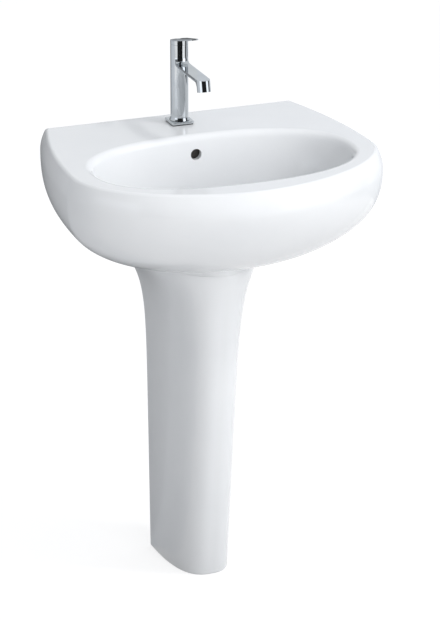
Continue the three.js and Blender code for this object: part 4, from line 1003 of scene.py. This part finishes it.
def lever_top(y):
    return LEVER_BACK_HEIGHT + tan(radians(LEVER_SLOPE)) * (COLUMN_RADIUS - y)


def lever_bottom(y):
    share = (COLUMN_RADIUS - y) / (COLUMN_RADIUS + LEVER_REACH)
    return lever_top(y) - LEVER_THICKNESS + (LEVER_THICKNESS - LEVER_TIP_THICKNESS) * share


def lever_outline(inset):
    """A half circle at the back, and two sides that narrow to a tip with rounded corners."""
    radius, tip = COLUMN_RADIUS - inset, LEVER_TIP_HALF_WIDTH
    corner = LEVER_TIP_CORNER
    centre_y = -LEVER_REACH + corner
    back = [(radius * cos(pi * share), radius * sin(pi * share)) for share in shares(40)]
    left = []
    for share in shares(24)[1:-1]:
        left.append((-(COLUMN_RADIUS + (tip - COLUMN_RADIUS) * share) + inset, centre_y * share))
    for angle in (radians(180 + 90 * share) for share in shares(12)):
        left.append((corner - tip + (corner - inset) * cos(angle),
                     centre_y + (corner - inset) * sin(angle)))
    return back + left + [(-x, y) for x, y in reversed(left)]


def make_lever():
    rings = []
    for fall, rise in rounding(3):
        outline = lever_outline(LEVER_EDGE * fall)
        rings.append([(x, y, lever_bottom(y) + LEVER_EDGE * rise) for x, y in outline])
    for fall, rise in rounding(3):
        outline = lever_outline(LEVER_EDGE * rise)
        rings.append([(x, y, lever_top(y) - LEVER_EDGE * fall) for x, y in outline])
    lever = loft("lever_ware", rings)
    puck = rod("puck", COLUMN_RADIUS, HEAD_HEIGHT - 3, HEAD_HEIGHT * 1.2, segments=128)
    corners = ((-PAST, -PAST), (PAST, -PAST), (PAST, PAST), (-PAST, PAST))
    cap_low = [(x, y, lever_top(y) - LEVER_THICKNESS / 2) for x, y in corners]
    combine(puck, [loft("cap", [cap_low, [(x, y, HEAD_HEIGHT * 1.3) for x, y in corners]])])
    combine(lever, [puck], "UNION")
    combine(lever, [dome(CLEARANCE)])
    combine(lever, [onto_stem(rod("boss", BOSS_RADIUS, NUT_TOP + 3 - PIVOT, DOME_RADIUS + 1))], "UNION")
    half = STEM_WIDTH / 2 + CLEARANCE
    socket = onto_stem(block("socket", (-half, -half, 0), (half, half, DOME_RADIUS - 3 + CLEARANCE)))
    screw_place = (0, 0, (HEAD_HEIGHT + LEVER_BACK_HEIGHT) / 2)
    combine(lever, [socket, rod("screw_hole", SCREW_HOLE, -COLUMN_RADIUS - OVER, 2, screw_place, "Y", 32)])
    bevel(lever, 0.3)
    finished(lever, "chrome", "tap_lever", TAP, "lever")


def make_tap_base():
    outline = rounded_square(PLATE_SIZE, PLATE_CORNER, 10)
    plate = prism("tap_plate", outline, PLATE_BOTTOM, PLATE_TOP, PLATE_EDGE, 5)
    combine(plate, [rod("plate_hole", COLUMN_RADIUS - 2, 0, PLATE_TOP + OVER)])
    finished(plate, "chrome", "tap_base_plate", TAP)
    outline = rounded_square(GASKET_SIZE, GASKET_CORNER, 8)
    gasket = prism("tap_gasket", outline, CLEARANCE, GASKET_TOP, 0.3, 2)
    combine(gasket, [rod("gasket_hole", COLUMN_RADIUS - 1.5, 0, GASKET_TOP + OVER)])
    finished(gasket, "black_rubber", "tap_base_gasket", TAP)


def make_aerator():
    inner = AERATOR_RADIUS - AERATOR_WALL
    housing = tube("aerator_shell", inner, AERATOR_RADIUS, 0.4, AERATOR_LENGTH, segments=96)
    low = (AERATOR_RADIUS - NOTCH_DEPTH, -NOTCH_HALF_WIDTH, 0)
    high = (AERATOR_RADIUS + OVER, NOTCH_HALF_WIDTH, NOTCH_DEPTH)
    notches = [moved(block("notch", low, high), Matrix.Rotation(turn, 4, "Z")) for turn in (0, pi)]
    combine(housing, notches)
    finished(onto_outlet(housing), "chrome", "aerator_housing", TAP, angle=40)
    insert = rod("aerator_core", inner - CLEARANCE, 1, AERATOR_LENGTH - 1, edge=0.2)
    jets = []
    for count, ring_radius in JET_RINGS:
        for x, y in circle(count, ring_radius):
            jets.append(rod("jet", JET_RADIUS, 0, AERATOR_LENGTH, (x, y, 0), segments=12))
    combine(insert, jets)
    finished(onto_outlet(insert), "grey_plastic", "aerator_insert", TAP)


# ---- shapes of fittings

NUT_FLAT = 0.97  # share of a nut's width that stays flat at its ends
NUT_SLOPE = 30  # degrees, of its turned-off corners
NUT_SLOPE_DEPTH = 1.6  # times the drop that the slope alone gives
NUT_EASE = 0.6  # at both ends of its bore


def thread(radius, low, high, pitch, depth):
    """The saw-toothed side of a threaded shape, as points of radius and height from low to high."""
    count = max(1, round((high - low) / pitch))
    step = (high - low) / count
    points = []
    for i in range(count):
        points += [(radius - depth, low + step * i), (radius, low + step * (i + 0.5))]
    return points + [(radius - depth, high)]


def hex_nut(name, across, bore, low, high, axis="Z"):
    """A hexagonal nut with its corners turned off and its bore eased at both ends."""
    corner, flat, ease = across / sqrt(3), across / 2 * NUT_FLAT, NUT_EASE
    drop = (corner - across / 2) * tan(radians(NUT_SLOPE)) * NUT_SLOPE_DEPTH
    side, mouth = corner * 1.001, bore + ease + OVER
    hexagon = [(corner * cos(pi / 3 * i), corner * sin(pi / 3 * i)) for i in range(6)]
    nut = prism(name, hexagon, low, high)
    limit = [(0, low), (flat, low), (side, low + drop), (side, high - drop), (flat, high), (0, high)]
    combine(nut, [turned("limit", limit, 0)], "INTERSECT")
    hole = [(0, low - OVER), (mouth, low - OVER), (bore, low + ease)]
    hole += [(bore, high - ease), (mouth, high + OVER), (0, high + OVER)]
    combine(nut, [turned("hole", hole, 0, segments=48)])
    return moved(nut, Matrix.Rotation(pi / 2, 4, "X")) if axis == "Y" else nut


def grips(count, ring_radius, radius, low, high):
    """Upright rods round a circle, in one mesh, to cut finger grips into a nut's side."""
    vertices, faces = [], []
    for x, y in circle(count, ring_radius):
        grip = rod("grip", radius, low, high, (x, y, 0), segments=16)
        first = len(vertices)
        vertices += [tuple(v.co / MM) for v in grip.data.vertices]
        faces += [tuple(first + i for i in face.vertices) for face in grip.data.polygons]
        bpy.data.objects.remove(grip)
    return piece("grips", vertices, faces)


# ---- wall fixings

BOLT_RADIUS = 5
BOLT_LENGTH = 42
BOLT_THREAD = (1.5, 0.5)  # pitch and depth, here and below
BUSH_COLLAR_RADIUS = 12
BUSH_COLLAR = 2.5
WASHER_RADIUS = 13
WASHER = 2
FIXING_NUT_SIZE = 17
FIXING_NUT = 8


def make_fixing(side, side_name):
    """One hanger bolt with its bush, washer and nut. Heights count from the wall towards the front."""
    place = (side * FIXING_HALF_SPACING, WALL_Y, RIM - FIXING_DROP)
    bore, hole = BOLT_RADIUS + CLEARANCE, FIXING_HOLE - CLEARANCE
    collar = BACK_WALL + CLEARANCE
    collar_end = collar + BUSH_COLLAR
    washer = collar_end + CLEARANCE
    nut = washer + WASHER + CLEARANCE
    profile = [(0, CLEARANCE), (BOLT_RADIUS - 0.2, CLEARANCE)]
    profile += thread(BOLT_RADIUS, CLEARANCE + 0.8, BOLT_LENGTH - 1.2, *BOLT_THREAD)
    profile += [(BOLT_RADIUS - 1.4, BOLT_LENGTH), (0, BOLT_LENGTH)]
    bolt = turned("bolt", profile, 0, axis="Y", segments=40)
    finished(bolt, "zinc_steel", "hanger_bolt_" + side_name, place, angle=50)
    inner = WALL_Y - box_of("fixing_bush_" + side_name)[1].y
    profile = [(bore, inner), (hole, inner), (hole, collar), (BUSH_COLLAR_RADIUS, collar),
               (BUSH_COLLAR_RADIUS, collar_end), (bore, collar_end)]
    bush = turned("bush", profile, 0.5, axis="Y", segments=56)
    finished(bush, "white_plastic", "fixing_bush_" + side_name, place)
    disc = tube("disc", bore, WASHER_RADIUS, washer, washer + WASHER, 0.35, axis="Y")
    finished(disc, "zinc_steel", "fixing_washer_" + side_name, place)
    hexagonal = hex_nut("nut", FIXING_NUT_SIZE, bore, nut, nut + FIXING_NUT, "Y")
    finished(hexagonal, "zinc_steel", "fixing_nut_" + side_name, place, angle=25)


# ---- tap fixing

STUD_LENGTH = 64
STUD_THREAD = (1.25, 0.4)
TAIL_LENGTH = 62
TAIL_STAGGER = 14
TAIL_COLLAR_RADIUS = 6.8
TAIL_COLLAR = 10
TAIL_THREAD = (1.1, 0.4)
HORSESHOE_RADIUS = 22
HORSESHOE_SLOT = (12.5, -1.8)  # its half width, and where it ends
RUBBER = 3
STEEL = 2
TAP_NUT_SIZE = 13
TAP_NUT = 8


def horseshoe(name, low, high):
    shape = rod(name, HORSESHOE_RADIUS, low, high, segments=80, edge=0.35)
    half, front = HORSESHOE_SLOT
    slot = block("slot", (-half, front, low - OVER), (half, HORSESHOE_RADIUS * 2, high + OVER))
    hole = rod("hole", STUD_RADIUS + CLEARANCE, low - OVER, high + OVER, (0, STUD_OFFSET, 0), segments=40)
    return combine(shape, [slot, hole])


def make_tap_fixing():
    rubber_top = -DECK - CLEARANCE
    steel_top = rubber_top - RUBBER - CLEARANCE
    nut_top = steel_top - STEEL - CLEARANCE
    rubber = horseshoe("rubber", rubber_top - RUBBER, rubber_top)
    finished(rubber, "black_rubber", "tap_rubber_washer", TAP)
    steel = horseshoe("steel", steel_top - STEEL, steel_top)
    finished(steel, "zinc_steel", "tap_steel_washer", TAP)
    nut = hex_nut("nut", TAP_NUT_SIZE, STUD_RADIUS + CLEARANCE, nut_top - TAP_NUT, nut_top)
    finished(placed(nut, (0, STUD_OFFSET, 0)), "brass", "tap_fixing_nut", TAP, angle=25)
    top = COLUMN_FOOT + SOCKET_DEPTH - 1
    low = top - STUD_LENGTH
    profile = [(0, low), (STUD_RADIUS - 1, low)] + thread(STUD_RADIUS, low + 0.9, top - 0.6, *STUD_THREAD)
    stud = turned("stud", profile + [(0, top)], 0, (0, STUD_OFFSET, 0), segments=40)
    finished(stud, "zinc_steel", "tap_fixing_stud", TAP, angle=50)
    for i, side_name in enumerate(("left", "right")):
        bottom = top - TAIL_LENGTH - TAIL_STAGGER * i
        collar = bottom + TAIL_COLLAR
        profile = [(TAIL_BORE, bottom), (TAIL_COLLAR_RADIUS - 0.8, bottom)]
        profile += thread(TAIL_COLLAR_RADIUS, bottom + 0.8, collar - 1.2, *TAIL_THREAD)
        profile += [(TAIL_COLLAR_RADIUS - 0.3, collar), (TAIL_RADIUS, collar + 0.6), (TAIL_RADIUS, top, 0.3),
                    (TAIL_BORE, top)]
        tail = turned("tail", profile, 0, (*INLETS[i], 0), segments=40)
        finished(tail, "brass", "inlet_tail_" + side_name, TAP, angle=50)


# ---- waste

# Heights here count from the drain's seat.
WASTE = (0, DRAIN_Y, DRAIN_SEAT)
FLANGE_RADIUS = 31.5
FLANGE = 2.5
WASTE_SEAL = 1.5
TUBE_RADIUS = 17.4
TUBE_INSIDE = 15.4
TUBE_LENGTH = 46
TAIL_PIECE_RADIUS = 20.7
TAIL_PIECE_TOP = -2
TAIL_PIECE_BOTTOM = -90
TAIL_PIECE_THREAD = (1.9, 0.5)
TAIL_PIECE_THREAD_LOW = -62
SLOT_HEIGHT = 9
SLOT_HALF_WIDTH = 7
SLOT_LOW = BOSS_BOTTOM + BOWL_SHELL - DRAIN_SEAT
GASKET_HEIGHT = 9
GASKET_WALL = 8
GASKET_SHOULDER = DRAIN_BOSS - 4
WASTE_NUT = 10
WASTE_NUT_SIZE = 60
PLUG_RADIUS = 30
PLUG = 5
PLUG_LIFT = 8
PLUG_LOW = CLEARANCE + WASTE_SEAL + CLEARANCE + FLANGE + CLEARANCE + PLUG_LIFT
PLUG_STEM_RADIUS = 3.5
PLUG_TAIL_RADIUS = 1.4
PLUG_COLLAR_RADIUS = 5
PLUG_COLLAR = 3
PLUG_COLLAR_DROP = 8
GUIDE_RADIUS = 8
GUIDE_HEIGHT = 30
GUIDE_FLOOR = 2
GUIDE_ROOF = 3
GUIDE_WALL = 1.8
GUIDE_TOP = -8
GUIDE_BOTTOM = GUIDE_TOP - GUIDE_HEIGHT
COLLAR_TOP = GUIDE_TOP - PLUG_COLLAR_DROP
COLLAR_BOTTOM = COLLAR_TOP - PLUG_COLLAR
RIB_HALF_WIDTH = 1.2
RIB_HEIGHT = 12
SPRING_TURNS = 3.5
SPRING_END_TURNS = 0.75  # closed turns at each end
SPRING_RADIUS = 3.6
SPRING_WIRE = 0.45
SPRING_STEPS = 40  # in a turn


def waste_slots():
    reach, high, half = TAIL_PIECE_RADIUS + OVER, SLOT_LOW + SLOT_HEIGHT, SLOT_HALF_WIDTH
    return [block("slot", (-x, -y, SLOT_LOW), (x, y, high)) for x, y in ((half, reach), (reach, half))]


def make_drain():
    """The flange with its tube, the tail piece round it, and what holds them to the basin."""
    under = CLEARANCE + WASTE_SEAL + CLEARANCE
    top, bottom = under + FLANGE, under - TUBE_LENGTH
    seal = tube("seal", DRAIN_HOLE, FLANGE_RADIUS - 1, CLEARANCE, CLEARANCE + WASTE_SEAL)
    finished(seal, "black_rubber", "waste_top_seal", WASTE)
    flange = turned("flange", [
        (TUBE_INSIDE, bottom, 0.2), (TUBE_RADIUS, bottom, 0.4), (TUBE_RADIUS, under, 0.3),
        (FLANGE_RADIUS, under, 0.2), (FLANGE_RADIUS, under + 0.8, 0.3), (FLANGE_RADIUS - 4, top, 3),
        (TUBE_INSIDE + 3, top, 1.6), (TUBE_INSIDE, under, 2.2)], 0.3, segments=128)
    combine(flange, waste_slots())
    finished(flange, "chrome", "waste_flange", WASTE)
    inner, radius, bottom = TUBE_RADIUS + CLEARANCE, TAIL_PIECE_RADIUS, TAIL_PIECE_BOTTOM
    profile = [(inner, bottom), (radius, bottom, 0.4), (radius, TAIL_PIECE_THREAD_LOW - 1, 0.4)]
    profile += thread(radius, TAIL_PIECE_THREAD_LOW, TAIL_PIECE_TOP - 1, *TAIL_PIECE_THREAD)
    profile += [(radius - 0.6, TAIL_PIECE_TOP), (inner, TAIL_PIECE_TOP)]
    tail = combine(turned("tail", profile, 0, segments=80), waste_slots())
    finished(tail, "brass", "waste_tail_piece", WASTE, angle=50)
    bore, top, wide = radius + CLEARANCE, -DRAIN_BOSS_HEIGHT - CLEARANCE, GASKET_SHOULDER
    bottom = top - GASKET_HEIGHT
    profile = [(bore, bottom), (bore + GASKET_WALL, bottom), (wide, top - 3), (wide, top), (bore, top)]
    gasket = turned("gasket", profile, 0.8)
    finished(gasket, "black_rubber", "waste_gasket", WASTE)
    nut_top = bottom - CLEARANCE
    nut = hex_nut("nut", WASTE_NUT_SIZE, bore, nut_top - WASTE_NUT, nut_top)
    finished(nut, "brass", "waste_nut", WASTE, angle=25)


def make_plug():
    low, top = PLUG_LOW, PLUG_LOW + PLUG
    plug = turned("plug", [
        (0, low), (PLUG_RADIUS - 3, low, 0.4), (PLUG_RADIUS, low + 1.5, 0.6),
        (PLUG_RADIUS - 1, top - 1.6, 1.6), (PLUG_RADIUS * 0.6, top - 0.4, 9), (0, top)], 0.4, segments=128)
    finished(plug, "chrome", "waste_plug", WASTE, "plug")
    tip, end = GUIDE_BOTTOM + GUIDE_FLOOR + PLUG_LIFT + CLEARANCE, low - CLEARANCE
    stem = turned("stem", [
        (0, tip), (PLUG_TAIL_RADIUS, tip), (PLUG_TAIL_RADIUS, COLLAR_BOTTOM),
        (PLUG_COLLAR_RADIUS, COLLAR_BOTTOM), (PLUG_COLLAR_RADIUS, COLLAR_TOP),
        (PLUG_STEM_RADIUS, COLLAR_TOP), (PLUG_STEM_RADIUS, end), (0, end)], 0.3, segments=40)
    finished(stem, "brass", "plug_stem", WASTE, "plug")


def make_guide():
    """The hub in the tube in which the plug's stem slides, on four ribs."""
    bottom, floor, roof = GUIDE_BOTTOM, GUIDE_BOTTOM + GUIDE_FLOOR, GUIDE_TOP - GUIDE_ROOF
    bore, inner = PLUG_STEM_RADIUS + CLEARANCE, GUIDE_RADIUS - GUIDE_WALL
    hub = turned("hub", [
        (0, bottom), (GUIDE_RADIUS, bottom), (GUIDE_RADIUS, GUIDE_TOP), (bore, GUIDE_TOP), (bore, roof),
        (inner, roof), (inner, floor), (0, floor)], 0.3, segments=48)
    start, end, half, top = GUIDE_RADIUS - 0.5, TUBE_INSIDE - CLEARANCE, RIB_HALF_WIDTH, bottom + RIB_HEIGHT
    ribs = [block("rib", (x, -half, bottom), (x + end - start, half, top)) for x in (-end, start)]
    ribs += [block("rib", (-half, y, bottom), (half, y + end - start, top)) for y in (-end, start)]
    combine(hub, ribs, "UNION")
    bevel(hub, 0.25)
    finished(hub, "white_plastic", "plug_guide", WASTE)


def make_spring():
    """The plug's spring. Its lower end stands on the guide's floor and its upper end just under the stem's
    collar.
    """
    low, high = GUIDE_BOTTOM + GUIDE_FLOOR + CLEARANCE, COLLAR_BOTTOM - CLEARANCE
    end_pitch = 2.1 * SPRING_WIRE
    middle = high - low - 2 * SPRING_WIRE - 2 * SPRING_END_TURNS * end_pitch
    turns = SPRING_TURNS + 2 * SPRING_END_TURNS
    rings = []
    for turn in (i / SPRING_STEPS for i in range(round(turns * SPRING_STEPS) + 1)):
        closed = min(turn, SPRING_END_TURNS) + max(0, turn - turns + SPRING_END_TURNS)
        height = low + SPRING_WIRE + closed * end_pitch + (turn - closed) / SPRING_TURNS * middle
        angle = pi * 2 * turn
        out = Vector((cos(angle), sin(angle), 0))
        wire = circle(12, SPRING_WIRE)
        rings.append([out * (SPRING_RADIUS + across) + Vector((0, 0, height + up)) for across, up in wire])
    spring = finished(loft("spring", rings), "zinc_steel", "plug_spring", WASTE, None)
    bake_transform(spring)


# ---- trap

# Heights here count from the lower end of the tail piece.
TRAP = (0, DRAIN_Y, DRAIN_SEAT + TAIL_PIECE_BOTTOM)
PIPE_RADIUS = 16
PIPE_INSIDE = 14.5
PIPE_PLAY = PIPE_RADIUS + CLEARANCE
PIPE_FLANGE = 1.8
PIPE_FLANGE_RADIUS = TAIL_PIECE_RADIUS - 0.5
SEAL_WIDTH = 3
NUT_LIP = 2.5
SLIP_NUT_RADIUS = 27
SLIP_NUT = 20
SLIP_NUT_TOP = 12
SLIP_NUT_FLOOR = 4
TRAP_RADIUS = 33
TRAP_WALL = 2.5
TRAP_DROP = 80
BOTTLE_HEIGHT = 74
NECK_RADIUS = 22
NECK_HEIGHT = 14
CUP_RADIUS = 36
CUP_HEIGHT = 54
BRANCH_RADIUS = 20
BRANCH_END = TRAP_RADIUS + 22
BRANCH_DROP = 26
COLLAR_NUT_RADIUS = 26
COLLAR_NUT = 16  # also the length of the nut on the branch
OUTLET_NUT_RADIUS = 24
ROSETTE_RADIUS = 36
ROSETTE_DEPTH = 11
BOTTLE_TOP = -TRAP_DROP
BOTTLE_BOTTOM = BOTTLE_TOP - BOTTLE_HEIGHT
NECK_TOP = BOTTLE_TOP + NECK_HEIGHT
BRANCH_Z = BOTTLE_TOP - BRANCH_DROP
WALL_DISTANCE = WALL_Y - DRAIN_Y


def make_trap_part(name, shape, grip=None):
    """Sets a chromed shape of the trap in place, with finger grips cut where a nut has them."""
    if grip:
        combine(shape, [grips(*grip)])
    finished(shape, "chrome", name, TRAP)


def towards_wall(name, profile, edge, segments=96):
    """A turned shape whose height runs from the drain's axis towards the wall."""
    flipped = [(radius, -height, *own) for radius, height, *own in profile]
    return turned(name, flipped, edge, (0, 0, BRANCH_Z), "Y", segments)


def make_trap_inlet():
    top, radius, play = SLIP_NUT_TOP, SLIP_NUT_RADIUS, TAIL_PIECE_RADIUS + CLEARANCE
    bottom = top - SLIP_NUT
    floor = bottom + SLIP_NUT_FLOOR
    slip = turned("slip", [
        (PIPE_PLAY, bottom), (radius - 3, bottom), (radius, bottom + 3), (radius, top), (play, top),
        (play, floor), (PIPE_PLAY, floor)], 0.7, segments=120)
    make_trap_part("trap_slip_nut", slip, (12, radius + 1.6, 2.6, bottom - 1, top - 4))
    flange, dip = floor + CLEARANCE, BOTTLE_BOTTOM - CUP_HEIGHT * 0.35
    end = flange + PIPE_FLANGE
    pipe = turned("pipe", [
        (PIPE_INSIDE, dip), (PIPE_RADIUS, dip), (PIPE_RADIUS, flange), (PIPE_FLANGE_RADIUS, flange),
        (PIPE_FLANGE_RADIUS, end), (PIPE_INSIDE, end)], 0.4, segments=96)
    make_trap_part("trap_inlet_pipe", pipe)


def make_bottle():
    radius, bottom, top = TRAP_RADIUS, BOTTLE_BOTTOM, BOTTLE_TOP
    wall, ceiling = radius - TRAP_WALL, top - TRAP_WALL - 1
    bottle = turned("bottle", [
        (0, bottom), (radius, bottom, 0.4), (radius, top - 6, 6), (radius - 6, top, 5),
        (NECK_RADIUS, top, 0.8), (NECK_RADIUS, NECK_TOP, 0.5), (0, NECK_TOP)], 0.4, segments=128)
    inside = turned("inside", [
        (0, bottom - OVER), (wall, bottom - OVER), (wall, top - 8), (radius - 9, ceiling),
        (PIPE_PLAY, ceiling), (PIPE_PLAY, NECK_TOP + OVER), (0, NECK_TOP + OVER)], 0, segments=96)
    branch = rod("branch", BRANCH_RADIUS, -BRANCH_END, 0, (0, 0, BRANCH_Z), "Y", 96)
    branch_bore = rod("branch_bore", PIPE_PLAY, -BRANCH_END - OVER, 0, (0, 0, BRANCH_Z), "Y", 72)
    combine(bottle, [branch], "UNION")
    combine(bottle, [inside, branch_bore])
    bevel(bottle, 0.5, 50)
    make_trap_part("trap_bottle", bottle)


def lipped_nut(bore, radius, end):
    """The profile of a nut round a neck or branch, with a lip over its end that presses on the seal."""
    start, lip = end - COLLAR_NUT, end - NUT_LIP
    return [(bore, start), (radius, start), (radius, end - 2), (radius - 2, end), (PIPE_PLAY, end),
            (PIPE_PLAY, lip), (bore, lip)]


def make_collar_nut():
    radius, top = COLLAR_NUT_RADIUS, NECK_TOP + CLEARANCE + SEAL_WIDTH + CLEARANCE + NUT_LIP
    collar = turned("collar", lipped_nut(NECK_RADIUS + CLEARANCE, radius, top), 0.6, segments=120)
    make_trap_part("trap_collar_nut", collar, (12, radius + 1.2, 2.2, top - COLLAR_NUT - 1, top - 4))


def make_cup():
    radius, top, bottom = CUP_RADIUS, BOTTLE_BOTTOM + 12, BOTTLE_BOTTOM - CUP_HEIGHT
    inner, ledge, floor = TRAP_RADIUS + CLEARANCE, BOTTLE_BOTTOM - 2.6, bottom + TRAP_WALL
    water = radius - TRAP_WALL - 3
    cup = turned("cup", [
        (0, bottom), (radius - 8, bottom, 4), (radius, bottom + 8, 8), (radius, top, 1.2), (inner, top),
        (inner, ledge), (water, ledge), (water, bottom + 9, 3), (radius - 11, floor, 3), (0, floor)],
        0.4, segments=144)
    make_trap_part("trap_cup", cup, (16, radius + 1.4, 2.4, bottom + 14, top - 8))


def make_outlet():
    """The pipe from the bottle to the wall, its nut, and the rosette over the hole in the wall."""
    start, wall = TRAP_RADIUS + 8, WALL_DISTANCE - CLEARANCE
    pipe = [(PIPE_INSIDE, start), (PIPE_RADIUS, start), (PIPE_RADIUS, wall), (PIPE_INSIDE, wall)]
    make_trap_part("trap_outlet_pipe", towards_wall("outlet", pipe, 0.3))
    end = BRANCH_END + CLEARANCE + SEAL_WIDTH + CLEARANCE + NUT_LIP
    nut = lipped_nut(BRANCH_RADIUS + CLEARANCE, OUTLET_NUT_RADIUS, end)
    make_trap_part("trap_outlet_nut", towards_wall("outlet_nut", nut, 0.6))
    front, radius = wall - ROSETTE_DEPTH, ROSETTE_RADIUS
    back = front + 1.6
    rosette = [
        (PIPE_PLAY, front), (PIPE_RADIUS + 4, front, 2), (radius - 4, wall - 4, 6), (radius, wall, 0.5),
        (radius - 2, wall), (radius - 6, wall - 2.6), (PIPE_RADIUS + 3, back), (PIPE_PLAY, back)]
    make_trap_part("wall_rosette", towards_wall("rosette", rosette, 0.3, 128))


# ---- the whole sink


def dress_solids():
    """Gives each solid that shows as it is the material of its slot."""
    slots = {part["node"]: part["material_slot"] for part in frame["record"]["subparts"]}
    for name, obj in frame["nodes"].items():
        if not obj.hide_render:
            obj.data.materials.clear()
            obj.data.materials.append(MATERIALS[slots[name]])


make_studio()
make_basin()
make_pedestal()
make_tap_body()
make_lever()
make_tap_base()
make_aerator()
make_tap_fixing()
make_fixing(-1, "left")
make_fixing(1, "right")
make_drain()
make_plug()
make_guide()
make_spring()
make_trap_inlet()
make_bottle()
make_collar_nut()
make_cup()
make_outlet()
dress_solids()
